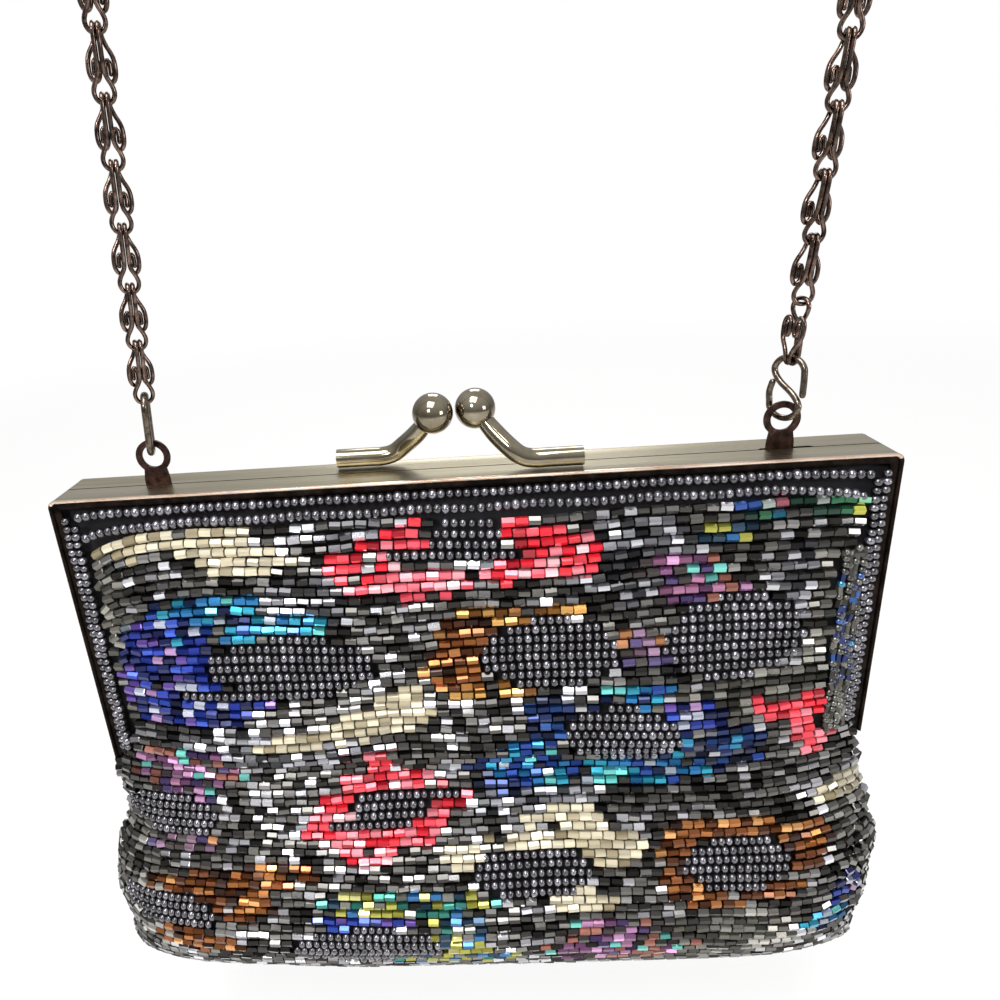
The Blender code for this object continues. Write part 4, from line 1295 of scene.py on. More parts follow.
# Later groups lie over earlier ones.
TUBE_SPOTS = tuple(Spot(lot, *sizes) for lot, rows in (
    (Palette.SILVER, ((38, -20, 14, 11), (-25, -12, 9, 4), (-38, -27, 12, 7), (75, -32, 8, 14),
                      (10, -83, 14, 5), (-55, -66, 30, 5))),
    (Palette.OLIVE, ((-94, -112, 12, 22), (84, -40, 8, 26), (66, -56, 20, 6), (-86, -30, 7, 18),
                     (96, -100, 9, 16), (62, -124, 20, 9))),
    (Palette.CREAM, ((-78, -12.5, 12, 3.0, 10), (-60, -11.0, 14, 3.4), (-52, -16, 13, 3.2, -3))),
    (Palette.RED, ((-22, -20, 10, 7),)),
    (Palette.ROSE, ((-10, -24, 13, 3.6),)),
    (Palette.RED, ((-13, -12.5, 6, 4.6), (19, -18, 11, 6.5), (11, -11.5, 5, 3.2), (8, -22.5, 7, 2.6))),
    (Palette.GREEN, ((76, -11, 19, 3.2),)),
    (Palette.LIME, ((57, -15, 8, 2.0),)),
    (Palette.PURPLE, ((47, -23, 11, 3.0), (53, -28, 13, 3.4))),
    (Palette.TEAL, ((-62, -28, 15, 3.8, 2), (-58, -33, 25, 3.8))),
    (Palette.BLUE, ((-73, -44, 13, 14), (-68, -55, 18, 4.4))),
    (Palette.GOLD, ((12, -32, 15, 2.4),)),
    (Palette.COPPER, ((-1, -38, 7.5, 6), (-4, -45, 7.5, 6.5))),
    (Palette.GOLD, ((4, -52, 10, 2.4),)),
    (Palette.PINK, ((40, -42, 8, 4.6),)),
    (Palette.NAVY, ((20, -60, 10, 6.5),)),
    (Palette.TEAL, ((37, -55, 10, 3.4),)),
    (Palette.BLUE, ((51, -62, 8.5, 4.5),)),
    (Palette.TEAL, ((13, -71, 6.5, 6.5),)),
    (Palette.NAVY, ((6, -76, 10, 5.5),)),
    (Palette.TEAL, ((34, -76.5, 32, 4.2),)),
    (Palette.NAVY, ((60, -71, 10, 6.5),)),
    (Palette.RED, ((72, -61.5, 8, 2.4, -14), (82, -66, 7, 9), (86, -57, 3.4, 3.4))),
    (Palette.CREAM, ((-42, -64.5, 13, 2.8, 9), (-25, -60, 14, 4.0, 12), (-16, -55, 8, 4.8, 6))),
    (Palette.PURPLE, ((-74, -74.5, 15, 8),)),
    (Palette.PINK, ((-79, -96, 11, 2.6, 8),)),
    (Palette.RED, ((-25.5, -73.5, 3.6, 5), (-22, -78, 14, 2.6), (-37, -87.5, 9, 6, 20),
                   (-8.5, -83, 6, 3.6, 20), (-14, -88.5, 7, 4, 25), (-26, -91.5, 17, 3),
                   (-31, -95, 10, 5))),
    (Palette.CREAM, ((21, -88.5, 11, 3.4), (18, -93, 20, 2.8), (33, -97, 7.5, 5), (-5, -98, 6, 4.4),
                     (25, -111, 9, 3.8), (92, -89, 9, 4))),
    (Palette.COPPER, ((60, -93.5, 15, 3.2, -8), (48, -100.5, 4.6, 9.5), (80, -101, 9, 6.5),
                      (63, -110.5, 17, 3.6), (-61, -104, 19, 4, 8), (-65, -111, 10, 5.5),
                      (-81, -108.5, 10, 2.6), (-79, -123.5, 13, 4))),
    (Palette.LIME, ((-20, -110.5, 21, 4.4), (-8, -120, 7.5, 11))),
    (Palette.BLUE, ((-32, -115.5, 14, 2.4),)),
    (Palette.LIME, ((-12, -129, 22, 4),)),
    (Palette.PURPLE, ((33, -125, 19, 9),)),
    (Palette.BLUE, ((93, -117, 5, 4.6),)),
    (Palette.TEAL, ((87, -124, 7, 3),))) for sizes in rows)
SEED_SPOTS = tuple(Spot(Palette.HEMATITE, *sizes) for sizes in (
    (0, -13, 8.5, 5), (-4, -17.2, 15, 1.9), (-43, -43.5, 20, 8), (-57, -50.5, 14, 1.8),
    (18, -42.5, 16, 8.8), (60, -41, 16, 10.5), (35, -66, 14, 8, -8), (-81, -87.5, 13, 6),
    (-23, -84.3, 9.5, 5.4), (-14, -80.7, 9, 1.8), (-32, -88.3, 8, 1.8), (12, -102, 15, 7.2),
    (63, -102.5, 13.5, 7.2, -6), (-85, -115, 14, 5.2), (-32, -124, 20, 6.4)))


def smooth_step(t: np.ndarray) -> np.ndarray:
    """The smooth step 3t^2 - 2t^3 from 0 to 1."""
    t = np.clip(t, 0, 1)
    return t * t * (3 - 2 * t)


@dataclass(frozen=True)
class Sag:
    """How the rows of beads run: places where they hang lower or higher than straight rows.

    All sizes are in millimetres. A droop has its depth and its length, at the left end and
    at the right one; fade is where the droops end down the cloth, and over what length. A
    slant has its depth, its side, its start and length across and its start down the
    cloth; a hump has its depth, and its place and width across and down; a wave has its
    height, its lengths across and down, and its phase.
    """

    end: float = 88
    droops: tuple = ((5.2, 6.5), (1.6, 8))
    fade: tuple = (52, 40)
    slants: tuple = ((4.5, 1, 42, 36, 62), (7.0, 1, 80, 26, 66), (4.0, -1, 66, 36, 66))
    slant_down: float = 60
    humps: tuple = ((-2.2, 19, 17, 96, 18), (-1.8, -17, 15, 60, 14))
    waves: tuple = ((0.5, 19, 15, 0.0), (0.35, 8.5, -11, 1.3))

    def drop(self, x: np.ndarray, down: np.ndarray | float) -> np.ndarray:
        """How much lower a row is at x: droops at both ends, slants, humps and waves.

        Each droop is depth times exp(-distance / length) and fades down the cloth, each
        slant is depth times a smooth step in x times one in the distance down, and each
        hump is depth times exp(-(distance / width)^2) in both directions.

        Args:
            x: Places across, seen from that face.
            down: Distances down the cloth.

        Returns:
            The drops.
        """
        left, right = (depth * np.exp(-np.maximum(self.end + toward * x, 0) / length)
                       for (depth, length), toward in zip(self.droops, (1, -1)))
        total = (left + right) * smooth_step(np.array((self.fade[0] - down) / self.fade[1]))
        for depth, side, start, length, below in self.slants:
            total = total + depth * smooth_step((side * x - start) / length) * smooth_step(
                np.array((down - below) / self.slant_down))
        for depth, across, wide, below, high in self.humps:
            total = total + depth * np.exp(-((x - across) / wide) ** 2) * np.exp(
                -((down - below) / high) ** 2)
        return total + sum(high * np.sin(x / across + down / along + phase)
                           for high, across, along, phase in self.waves)


@dataclass(frozen=True)
class BeadKind:
    """One kind of bead: its (along, radius) profile and how much one bead differs from the next."""

    name: str
    finish: Finish
    profile: np.ndarray
    sides: int
    smooth: float
    roll: float
    tilt: float
    size: float
    # How far the painted shading of a bead's sides varies; twice that darkens its ends as painted shade.
    shade: float

    def count(self, piece: bpy.types.Object) -> int:
        """How many beads a mesh of this kind has."""
        return len(piece.data.polygons) // (self.sides * (len(self.profile) - 1) + 2)


@dataclass
class BeadStock:
    """The beads of one kind: place u, depth, colour, whether upright, looseness and size of each."""

    lots: list = field(default_factory=list)

    def add(self, u: np.ndarray, depth: np.ndarray, colour: np.ndarray, upright: bool,
            loose: np.ndarray | float, size: float = 1.0) -> None:
        """Take in beads that run along a row, or down the cloth where upright.

        Args:
            u: Place across the bag, from -1 to 1.
            depth: Distance below the top plate.
            colour: Linear colour and lustre of each.
            upright: Whether they run down the cloth.
            loose: How much their tilt varies, 1 for tight rows.
            size: Their size, 1 for the common bead.
        """
        self.lots.append((u, depth, colour, np.full(len(u), upright), np.broadcast_to(loose, u.shape),
                          np.full(len(u), size)))

    def sets(self) -> tuple:
        """Everything as whole arrays."""
        return tuple(np.concatenate(column) for column in zip(*self.lots))


@dataclass
class BeadedPouch:
    """The beaded cloth of the front and back, its border of seed beads and its lining.

    Left and right are as seen by someone who looks at that face. The loose strip is where
    the rows have worked loose beside one arm.
    """

    shop: Workshop
    form: PouchForm
    sag: Sag = Sag()
    tube_length: float = 0.00288
    tube_pitch: float = 0.00298
    tube_radius: float = 0.00110
    seed_pitch: float = 0.00198
    seed_radius: float = 0.00118
    seed_half: float = 0.00094
    first_seed: int = 41
    bead_start: tuple = (0.2, 1.1)
    bead_shuffle: float = 0.02
    row_pitch: float = 0.00244
    row_end: float = 0.1 * MM
    spot_fill: float = 0.94
    ragged: tuple = (-0.2, 0.22)
    seed_ragged: float = 0.4
    arm_end: float = 0.0698
    left_edge: float = 0.0876
    right_edge: float = 0.0890
    side_from: float = 0.0885
    side_top: float = 0.068
    side_shade: float = 0.55
    corner_from_mm: float = 84
    corner_top: float = 0.078
    arm_from_mm: float = 74
    arm_range: tuple = (0.016, 0.072)
    loosen_mm: float = 12
    border_top: float = 0.0040
    border_step: float = 0.0029
    border_half_mm: float = 90.2
    border_inset_mm: float = 2.2
    border_wave: float = 0.15 * MM
    border_pace: float = 23
    border_bend_rate: float = 15
    border_pitch: float = 0.98
    border_bend_mm: tuple = (0.8, 2.2)
    column_x: float = 91.9 * MM
    column_step: float = 0.0022
    column_pace: float = 40
    column_mm: tuple = (3.8, 65.7, 1.6)
    strip_edge: float = 0.0838
    strip_above: float = 0.024
    strip_x: float = 88.4 * MM
    strip_step: float = 1.4 * MM
    strip_wave: float = 0.35 * MM
    strip_mm: tuple = (21.0, 49.5)
    strip_pitch: float = 1.6 * MM
    strip_blue: tuple = (0.042, 0.014)
    strip_pace: float = 21
    strip_bluish: float = 0.45
    strip_round: float = 0.6
    cloth_inset: float = 0.0016
    lining_inset: float = 0.0025
    cloth_top: float = 0.6 * MM
    wall_end: float = 0.066
    wall_fade: float = 0.011
    clearance: tuple = ((1 * MM, 0.13), (9 * MM, 0.35))
    fold_top: float = 0.0594
    fold_bottom: float = 0.0854

    def spaced(self, u: np.ndarray, depth: np.ndarray, side: int, pitch: float,
               draws: np.random.Generator) -> tuple:
        """Places along a line on the pouch at an even pitch, each moved a little.

        Args:
            u: Place across the bag, from -1 to 1.
            depth: Distance below the top plate.
            side: -1 for the front, 1 for the back.
            pitch: The distance between beads.
            draws: The seeded random source.

        Returns:
            Arrays u and depth.
        """
        along = walked(self.form.point(u, depth, side))
        at = np.arange(pitch * draws.uniform(*self.bead_start), along[-1] - pitch * 0.4, pitch)
        at = at + draws.normal(0, pitch * self.bead_shuffle, len(at))
        return np.interp(at, along, u), np.interp(at, along, depth)

    def row(self, side: int, start: float, pitch: float, tables: tuple, draws: np.random.Generator) -> tuple:
        """Bead places along one row: its distance down the cloth plus the sag.

        Args:
            side: -1 for the front, 1 for the back.
            start: The row's distance down the cloth.
            pitch: The distance between beads.
            tables: Distances down the cloth and the depths there.
            draws: The seeded random source.

        Returns:
            Arrays u and depth.
        """
        u = np.linspace(-0.999, 0.999, 500)
        drop = self.sag.drop(-side * u * self.form.half_width / MM, start / MM) * MM
        depth = np.interp(start + drop, *tables)
        x = -side * self.form.point(u, depth, side)[:, 0]
        in_strip = (depth > self.strip_above) & (x > 0)
        limit = np.where(in_strip, self.strip_edge, np.where(x > 0, self.right_edge, self.left_edge))
        limit = np.where(depth > self.arm_end, 1.0, limit)
        keep = (depth < self.form.bottom - self.row_end) & (np.abs(x) < limit)
        if keep.sum() < 10:
            return np.zeros(0), np.zeros(0)
        return self.spaced(u[keep], depth[keep], side, pitch, draws)

    def colours(self, x: np.ndarray, z: np.ndarray, ragged: float, draws: np.random.Generator) -> tuple:
        """The colour of a bead at each place, and whether the place belongs to round seeds.

        Args:
            x: Places across, seen from that face.
            z: Heights, from the top plate.
            ragged: How much the edge is moved.
            draws: The seeded random source.

        Returns:
            Colours, and True where a seed goes.
        """
        made = Palette.GUNMETAL.pick(draws.random(len(x)))
        for spot in TUBE_SPOTS:
            picked = spot.palette.pick(draws.random(len(x)))
            inside = spot.holds(x, z, ragged) & (draws.random(len(x)) < self.spot_fill)
            made = np.where(inside[:, None], picked, made)
        round_ones = np.any([spot.holds(x, z, ragged * self.seed_ragged) for spot in SEED_SPOTS], axis=0)
        return made, round_ones

    def rows(self, side: int, tubes: BeadStock, seeds: BeadStock, draws: np.random.Generator) -> None:
        """Fill the rows of one face with tube beads and the middles of the groups with seeds.

        The beads are darkened as painted shade where the sides turn away, and looser near the
        lower corners and beside the left arm.

        Args:
            side: -1 for the front, 1 for the back.
            tubes: The stock of tube beads.
            seeds: The stock of round seeds.
            draws: The seeded random source.
        """
        down = np.linspace(self.form.top, self.form.bottom, 900)
        along = walked(self.form.point(0 * down, down, side))
        first = np.interp(self.border_top + 2 * self.border_step - 0.2 * MM, down, along)
        for start in np.arange(first, along[-1] - self.row_end, self.row_pitch):
            ragged = draws.uniform(*self.ragged)
            for pitch, stock, wants_round in ((self.tube_pitch, tubes, False),
                                              (self.seed_pitch, seeds, True)):
                u, depth = self.row(side, float(start), pitch, (along, down), draws)
                x = -side * self.form.point(u, depth, side)[:, 0]
                colour, round_ones = self.colours(x, -depth, ragged, draws)
                if wants_round:
                    colour = Palette.HEMATITE.pick(draws.random(len(u)))
                # Beads low at the sides, where the pouch turns away from the light, are darkened by
                # side_shade as painted shade.
                painted_shade_at_side = (np.abs(x) > self.side_from) & (depth > self.side_top)
                colour[:, :3] *= np.where(painted_shade_at_side, self.side_shade, 1)[:, None]
                keep = round_ones if wants_round else ~round_ones
                corner = np.clip((np.abs(x) / MM - self.corner_from_mm) / self.loosen_mm, 0, 1)
                corner = 4 * corner * (depth > self.corner_top)
                arm = np.clip((-x / MM - self.arm_from_mm) / self.loosen_mm, 0, 1)
                arm = 3 * arm * (depth > self.arm_range[0]) * (depth < self.arm_range[1])
                stock.add(u[keep], depth[keep], colour[keep], False, (1 + corner + arm)[keep])

    def border(self, side: int, seeds: BeadStock, draws: np.random.Generator) -> None:
        """Two seed rows under the top plate, bent down at their ends, and two seed columns at each arm.

        Args:
            side: -1 for the front, 1 for the back.
            seeds: The stock of round seeds.
            draws: The seeded random source.
        """
        for step in range(2):
            reach = (self.border_half_mm - self.border_inset_mm * step) * MM / self.form.half_width
            u = np.linspace(-reach, reach, 400)
            droop, more = self.border_bend_mm
            bend = (droop + more * step) * MM * np.exp(-(reach - np.abs(u)) * self.border_bend_rate)
            wave = self.border_wave * np.sin(u * self.border_pace + step)
            depth = self.border_top + step * self.border_step + bend + wave
            u, depth = self.spaced(u, depth, side, self.seed_pitch * self.border_pitch, draws)
            seeds.add(u, depth, Palette.HEMATITE.pick(draws.random(len(u))), False, 1.0, 1.1)
        down = np.linspace(0, 1, 300)
        top, reach, inset = self.column_mm
        for end in (-1, 1):
            for step in range(2):
                wave = self.border_wave * np.sin(down * self.column_pace + step)
                x = end * (self.column_x - self.column_step * step) + wave
                depth = (top + inset * step + (reach - inset * step) * down) * MM
                u, depth = self.spaced(x / self.form.half_width, depth, side, self.seed_pitch, draws)
                seeds.add(u, depth, Palette.HEMATITE.pick(draws.random(len(u))), True, 2.0, 0.98)

    def loose_strip(self, side: int, tubes: BeadStock, seeds: BeadStock, draws: np.random.Generator) -> None:
        """Four uneven columns of small beads beside the right arm, bluish in their middle.

        Args:
            side: -1 for the front, 1 for the back.
            tubes: The stock of tube beads.
            seeds: The stock of round seeds.
            draws: The seeded random source.
        """
        down = np.linspace(0, 1, 300)
        (top, reach), (middle, half) = self.strip_mm, self.strip_blue
        for step in range(4):
            wave = self.strip_wave * np.sin(down * self.strip_pace + 2 * step)
            x = -side * (self.strip_x - self.strip_step * step) + wave
            u, depth = self.spaced(x / self.form.half_width, (top + reach * down) * MM, side,
                                   self.strip_pitch, draws)
            round_ones = draws.random(len(u)) < self.strip_round
            bluish = (draws.random(len(u)) < self.strip_bluish) & (np.abs(depth - middle) < half)
            lot = np.where(bluish[:, None], Palette.NAVY.pick(0.75 * draws.random(len(u))),
                           Palette.OLIVE.pick(0.8 * draws.random(len(u))))
            for stock, chosen, size in ((tubes, ~round_ones, 0.8), (seeds, round_ones, 0.9)):
                stock.add(u[chosen], depth[chosen], lot[chosen], True, 4.0, size)

    def frames(self, stock: tuple, side: int, sink: float) -> tuple:
        """Place, row direction and cloth normal of each bead, sunk by its radius.

        The row direction follows the cloth across plus the slope of the sag, or down the
        cloth for upright beads, and is square to the normal.

        Args:
            stock: The beads' whole arrays.
            side: -1 for the front, 1 for the back.
            sink: How deep a bead's axis lies below the outermost surface.

        Returns:
            Places, row directions and normals.
        """
        u, depth, _, upright, _, _ = stock
        out = self.form.normal(u, depth, side)
        at = self.form.point(u, depth, side) - out * sink
        du, dz = 0.002, 0.0003
        ahead = self.form.point(np.clip(u + du, -1, 1), depth, side) - self.form.point(
            np.clip(u - du, -1, 1), depth, side)
        down = self.form.point(u, depth + dz, side) - self.form.point(u, depth - dz, side)
        seen = -side * u * self.form.half_width / MM
        slope = -side * (self.sag.drop(seen + 1, depth / MM) - self.sag.drop(seen - 1, depth / MM)) / 2
        ahead = np.where(upright[:, None], down, unit(ahead) + unit(down) * slope[:, None])
        return at, unit(ahead - (ahead * out).sum(1, keepdims=True) * out), out

    def bead_piece(self, word: str, kind: BeadKind, side: int, stock: tuple,
                   draws: np.random.Generator) -> bpy.types.Object:
        """Many beads in one mesh: each is the (along, radius) profile turned about its own axis.

        Args:
            word: The face's name.
            kind: The kind of bead.
            side: -1 for the front, 1 for the back.
            stock: The beads' whole arrays.
            draws: The seeded source of the small differences.

        Returns:
            The object, with its bead_colour attribute: each side of a bead has its own painted shading,
            drawn at random, and its ends are darkened as painted shade between neighbouring beads.
        """
        shape, sides = kind.profile, kind.sides
        _, _, colour, _, loose, scale = stock
        at, ahead, out = self.frames(stock, side, float(shape[:, 1].max()))
        cross = np.cross(out, ahead)
        count = len(at)
        tilt = draws.normal(0, kind.tilt, (count, 2)) * np.stack([loose, np.minimum(loose, 2)], 1)
        ahead = unit(ahead + tilt[:, :1] * cross + tilt[:, 1:] * out * 0.6)
        out = unit(out - (out * ahead).sum(1, keepdims=True) * ahead)
        cross = np.cross(out, ahead)
        size = (scale * (1 + draws.normal(0, kind.size, count)))[:, None, None, None]
        roll = draws.uniform(-kind.roll, kind.roll, (count, 1, 1))
        angle = roll + (np.arange(sides) * TAU / sides)[None, None, :]
        along, radius = shape[:, 0][None, :, None, None], shape[:, 1][None, :, None]
        ring = (out[:, None, None, :] * (radius * np.cos(angle))[..., None]
                + cross[:, None, None, :] * (radius * np.sin(angle))[..., None])
        points = at[:, None, None, :] + size * (ring + ahead[:, None, None, :] * along)
        per = len(shape) * sides
        start = (np.arange(count) * per)[:, None]
        quads = (grid_faces(len(shape), sides).reshape(1, -1) + start).reshape(-1, 4)
        caps = np.concatenate([(start + np.arange(sides)[::-1]), (start + per - sides + np.arange(sides))])
        piece = self.shop.piece(f"{word}_{kind.name}", (points.reshape(-1, 3), [quads, caps]), kind.smooth,
                                kind.finish)
        # Each side of a bead is lit or shaded at random: painted shading of its facets.
        shade = draws.uniform(1 - kind.shade, 1 + kind.shade, (count, 1, sides, 1))
        shade = shade * np.ones((1, len(shape), 1, 1))
        # The end rings are darker: painted shade where neighbouring beads meet.
        shade[:, (0, -1)] *= 1 - 2 * kind.shade
        tint = np.broadcast_to(colour[:, None, None, :], (count, len(shape), sides, 4)).copy()
        tint[..., :3] *= shade
        layer = piece.data.color_attributes.new("bead_colour", "FLOAT_COLOR", "POINT")
        layer.data.foreach_set("color", tint.astype(np.float32).ravel())
        return piece

    def cloth(self, name: str, side: int, inset: float, finish: Finish) -> bpy.types.Object:
        """A sheet that follows the form at an inset; below the arms its edges meet the other one at y = 0.

        Above the arm's end it is stretched to the frame's wall. Just below, it keeps clear of
        the frame as that opens: |x| is at most the wall plus slope times distance.

        Args:
            name: Its name.
            side: -1 for the front, 1 for the back.
            inset: How far inside the outermost surface.
            finish: Its finish.

        Returns:
            The object.
        """
        u = np.sin(np.linspace(-np.pi / 2, np.pi / 2, 121))
        top, wall = self.form.top + self.cloth_top, self.form.half_width
        depth = top + (self.form.bottom - inset - top) * np.sin(np.linspace(0, np.pi / 2, 111))
        grid = self.form.point(u[None, :], depth[:, None], side, inset)
        grid[..., 0] *= 1 + inset / wall * np.clip((self.wall_end - depth) / self.wall_fade, 0, 1)[:, None]
        clear = wall - inset + sum(slope * np.maximum(depth - self.form.arm - start, 0)
                                   for start, slope in self.clearance)
        clear = np.where(depth > self.wall_end, clear, 1.0)[:, None]
        grid[..., 0] = np.clip(grid[..., 0], -clear, clear)
        grid[-1, :, 1] = 0.0
        grid[np.ix_(depth > self.form.arm, (0, -1), (1,))] = 0.0
        quads = grid_faces(len(depth), len(u), wrap=False)
        if side > 0:
            quads = quads[:, ::-1]
        return self.shop.piece(name, (grid.reshape(-1, 3), [quads]), 60, finish)

    def declare(self, side: int, inset: float) -> None:
        """Work out a cloth's length down the middle of the form and sixty rows across it; nothing uses them.

        Args:
            side: -1 for the front, 1 for the back.
            inset: How far inside the outermost surface.
        """
        down = np.linspace(self.form.top, self.form.bottom, 900)
        length = float(walked(self.form.point(0 * down, down, side))[-1])
        u = np.linspace(-1, 1, 401)
        rows = [self.form.point(u, 0 * u + z, side, inset)
                for z in np.linspace(self.form.top, self.form.bottom, 60)]

    def carry(self, piece: bpy.types.Object, side: int) -> None:
        """Tie a piece of the back to the back half; a piece of the front only has its transform baked and
        stays untied.

        Args:
            piece: The piece.
            side: -1 for the front, 1 for the back.
        """
        if side > 0:
            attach(piece, "back_half")
            return
        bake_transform(piece)

    def face(self, word: str, side: int, kinds: tuple) -> None:
        """One face of the pouch: ground cloth, tube beads, seed beads and lining.

        Args:
            word: The side's name.
            side: -1 for the front, 1 for the back.
            kinds: The two kinds of bead, tubes first.
        """
        draws = np.random.default_rng(self.first_seed + side)
        tubes, seeds = BeadStock(), BeadStock()
        self.rows(side, tubes, seeds, draws)
        self.border(side, seeds, draws)
        self.loose_strip(side, tubes, seeds, draws)
        cloth = self.cloth(f"{word}_ground_cloth", side, self.cloth_inset, Finish.GROUND)
        lining = self.cloth(f"{word}_satin_lining", side, self.lining_inset, Finish.LINING)
        beads = [self.bead_piece(word, kind, side, stock.sets(), draws)
                 for kind, stock in zip(kinds, (tubes, seeds))]
        for piece in (*beads, cloth):
            self.carry(piece, side)
        self.carry(lining, side)
        self.declare(side, self.cloth_inset)
        self.declare(side, self.lining_inset)
        solids = ["back"] if side > 0 else [f"front_{part}" for part in ("upper", "fold", "lower")]
        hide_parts(*[f"beaded_{solid}" for solid in solids])
        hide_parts(*[f"lining_{solid}" for solid in solids])
        LOG.info("%s: %s", word, ", ".join(f"{k.count(b)} {k.name}" for k, b in zip(kinds, beads)))

    def build(self) -> None:
        """Make the front and the back, of six sided cut tubes and round seeds."""
        hexagon = np.array([(-0.5, 0.80), (-0.45, 1.0), (0.45, 1.0), (0.5, 0.80)]) * np.array(
            [self.tube_length, self.tube_radius])
        ball = np.radians(np.array([-70, -36, 0, 36, 70]))
        round_shape = np.stack([self.seed_half * np.sin(ball), self.seed_radius * np.cos(ball) ** 0.8], 1)
        kinds = (
            BeadKind("cut_tube_beads", Finish.TUBE_BEADS, hexagon, sides=6, smooth=0, roll=0.5, tilt=0.05,
                     size=0.03, shade=0.32),
            BeadKind("round_seed_beads", Finish.SEED_BEADS, round_shape, sides=8, smooth=70, roll=3.0,
                     tilt=0.08, size=0.05, shade=0.1))
        self.face("front", -1, kinds)
        self.face("back", 1, kinds)


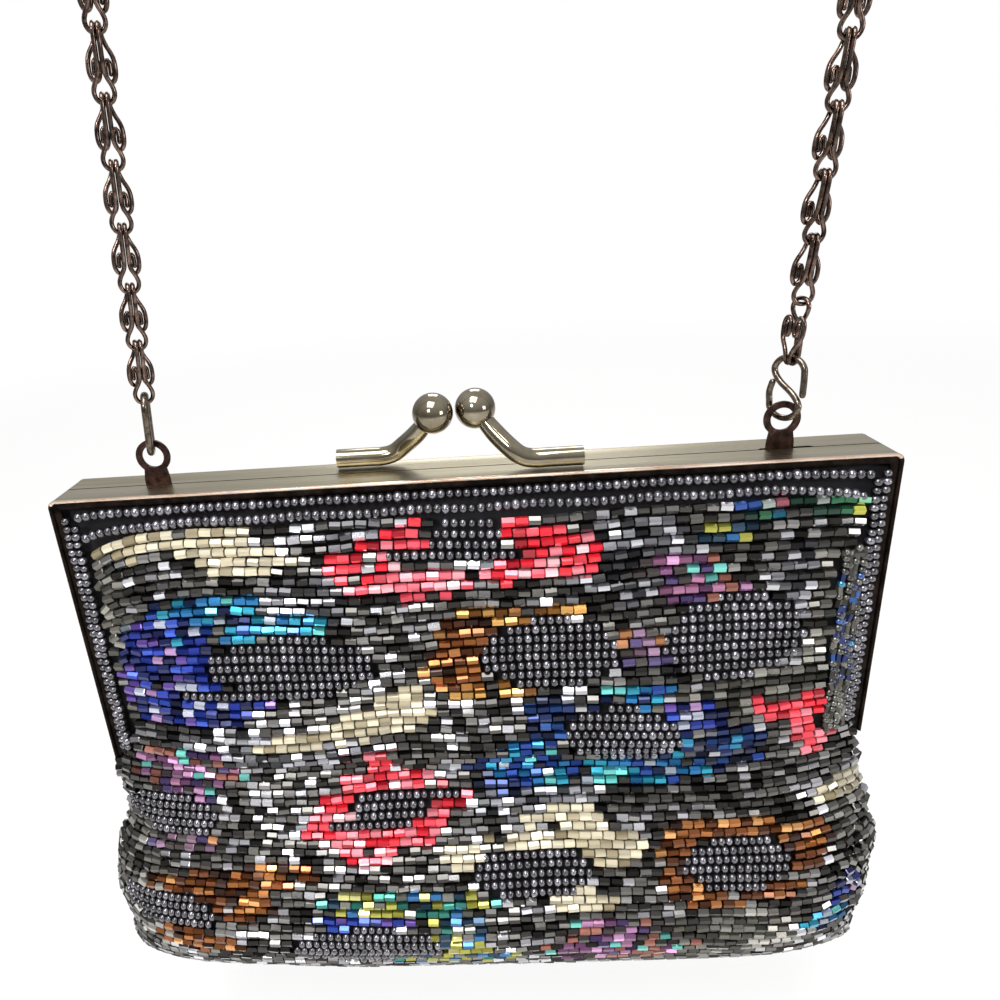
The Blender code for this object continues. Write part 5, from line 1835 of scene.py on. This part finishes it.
@dataclass
class Studio:
    """Camera, floor, lamps and the pale surroundings.

    The camera's place and angles, its lens and its shift were solved from the photograph.
    Each lamp has its place beside the bag, its size and its power in watts. soft_level is
    the light that the surroundings give matt surfaces; mirrors see them fade from
    high_gloss overhead to low_gloss at the floor.
    """

    shop: Workshop
    lens: float = 27.0
    sensor: float = 36.0
    lens_shift: tuple = (0.074, -0.008)
    eye: tuple = (0.0009, -0.1637, 0.0563)
    angles: tuple = (20.7, 3.37, -4.40)
    lamps: tuple = (
        ("top_softbox", (-0.1, -0.35, 0.8), 0.5, 9.0), ("key_softbox", (-0.35, -0.9, 0.55), 0.2, 5.0),
        ("fill_softbox", (0.9, -0.7, 0.2), 0.3, 3.0), ("rim_softbox", (0.04, 0.9, 0.8), 0.5, 5.0))
    aim: float = -0.06
    floor_z: float = -0.372
    floor_size: float = 6.0
    floor_near: float = 0.5
    floor_far: float = 1.6
    floor_level: float = 0.8
    low_gloss: float = 0.3
    high_gloss: float = 1.0
    gloss_heights: tuple = (-0.1, 0.75)
    soft_level: float = 0.42

    def camera(self) -> None:
        """The camera that the photograph was solved for."""
        (c1, c2, c3), (s1, s2, s3) = np.cos(np.radians(self.angles)), np.sin(np.radians(self.angles))
        tilt = np.array([[1, 0, 0], [0, c1, -s1], [0, s1, c1]])
        turn = np.array([[c2, 0, s2], [0, 1, 0], [-s2, 0, c2]])
        roll = np.array([[c3, -s3, 0], [s3, c3, 0], [0, 0, 1]])
        seen = roll @ tilt @ turn @ np.array([[1, 0, 0], [0, 0, -1], [0, 1, 0]])
        data = bpy.data.cameras.new("photo_camera")
        data.lens, data.sensor_width, data.sensor_fit = self.lens, self.sensor, "HORIZONTAL"
        data.shift_x, data.shift_y = self.lens_shift
        data.clip_start, data.clip_end = 0.01, 50.0
        axes = (np.diag([1, -1, -1]) @ seen).T
        bpy.context.scene.camera = self.put("photo_camera", data, axes, np.array(self.eye) + self.shop.origin)

    def put(self, name: str, data: bpy.types.ID, axes: np.ndarray, at: np.ndarray) -> bpy.types.Object:
        """Link a camera or lamp that looks along its own -Z, with its axes as columns.

        Args:
            name: Its name.
            data: The camera or lamp data.
            axes: Its axes.
            at: Its place.

        Returns:
            The object.
        """
        made = bpy.data.objects.new(name, data)
        bpy.context.scene.collection.objects.link(made)
        world = np.eye(4)
        world[:3, :3], world[:3, 3] = axes, at
        made.matrix_world = Matrix(world.tolist())
        return made

    def lamp(self, name: str, beside: tuple, size: float, power: float) -> None:
        """A square soft lamp that looks at the middle of the bag.

        Args:
            name: Its name.
            beside: Its place from the bag's origin, y from the row's.
            size: Its side.
            power: Its power in watts.
        """
        x, _, z = self.shop.origin
        at = np.array([x + beside[0], beside[1], z + beside[2]])
        data = bpy.data.lights.new(name, "AREA")
        data.shape, data.size, data.energy = "SQUARE", size, power
        back = unit(at - np.array([x, 0, z + self.aim]))
        right = unit(np.cross(np.array([0.01, 0.02, 1.0]), back))
        self.put(name, data, np.stack([right, np.cross(back, right), back], axis=1), at)

    def surroundings(self) -> None:
        """A white world to the eye; mirrors see it fade towards the floor; diffuse light is softer."""
        world = bpy.data.worlds.new("studio_world")
        bpy.context.scene.world = world
        world.use_nodes = True
        tree = world.node_tree
        tree.nodes.clear()
        white = (1, 1, 1, 1)
        path = add_node(tree, "ShaderNodeLightPath").outputs
        up = add_node(tree, "ShaderNodeSeparateXYZ",
                      links={"Vector": add_node(tree, "ShaderNodeTexCoord").outputs["Generated"]})
        fade = add_node(tree, "ShaderNodeMapRange",
                        {"From Min": self.gloss_heights[0], "From Max": self.gloss_heights[1],
                         "To Min": self.low_gloss, "To Max": self.high_gloss}, {"Value": up.outputs["Z"]})
        clear = add_node(tree, "ShaderNodeMath", {"operation": "MAXIMUM"},
                         {0: path["Is Camera Ray"], 1: path["Is Transmission Ray"]})
        soft = add_node(tree, "ShaderNodeBackground", {"Color": white, "Strength": self.soft_level})
        mirror = add_node(tree, "ShaderNodeBackground", {"Color": white},
                          {"Strength": fade.outputs["Result"]})
        plain = add_node(tree, "ShaderNodeBackground", {"Color": white, "Strength": 1.0})
        lit = add_node(tree, "ShaderNodeMixShader",
                       links={0: path["Is Glossy Ray"], 1: soft.outputs[0], 2: mirror.outputs[0]})
        last = add_node(tree, "ShaderNodeMixShader",
                        links={0: clear.outputs[0], 1: lit.outputs[0], 2: plain.outputs[0]})
        add_node(tree, "ShaderNodeOutputWorld", links={"Surface": last.outputs[0]})

    def floor(self) -> None:
        """A wide matt white floor below the bag; to the camera it fades into the white world."""
        s, z = self.floor_size, self.floor_z
        points = np.array([(-s, -s, z), (s, -s, z), (s, s, z), (-s, s, z)])
        piece = make_piece("studio_floor", points, [np.array([[0, 1, 2, 3]])], 0)
        made, tree, shader = new_material("matt_white_floor")
        set_node(shader, {"Base Color": linear("#F4F3F1"), "Roughness": 0.9})
        glow = add_node(tree, "ShaderNodeEmission", {"Color": (1, 1, 1, 1), "Strength": 1.0})
        path = add_node(tree, "ShaderNodeLightPath")
        spot = add_node(tree, "ShaderNodeTexCoord").outputs["Object"]
        far = add_node(tree, "ShaderNodeVectorMath", {"operation": "LENGTH"}, {0: spot})
        blend = add_node(tree, "ShaderNodeMapRange", {"From Min": self.floor_near, "From Max": self.floor_far,
                                                      "To Min": self.floor_level, "To Max": 1.0},
                         {"Value": far.outputs["Value"]})
        amount = add_node(tree, "ShaderNodeMath", {"operation": "MULTIPLY"},
                          {0: path.outputs["Is Camera Ray"], 1: blend.outputs["Result"]})
        mix = add_node(tree, "ShaderNodeMixShader",
                       links={0: amount.outputs[0], 1: shader.outputs[0], 2: glow.outputs[0]})
        tree.links.new(mix.outputs[0], tree.nodes["Material Output"].inputs["Surface"])
        piece.data.materials.append(made)

    def build(self) -> None:
        """Set the camera, the light and the floor."""
        self.camera()
        self.floor()
        self.surroundings()
        for lamp in self.lamps:
            self.lamp(*lamp)
        bpy.context.scene.view_settings.view_transform = "Standard"


def main() -> None:
    """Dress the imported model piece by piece."""
    logging.basicConfig(level=logging.INFO, format="%(message)s")
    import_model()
    shop = Workshop.from_frame()
    parts = (Studio(shop), FrameHalves(shop), Fittings(shop), StrapChain(shop),
             BeadedPouch(shop, PouchForm()))
    for part in parts:
        part.build()


if __name__ == "__main__":
    main()
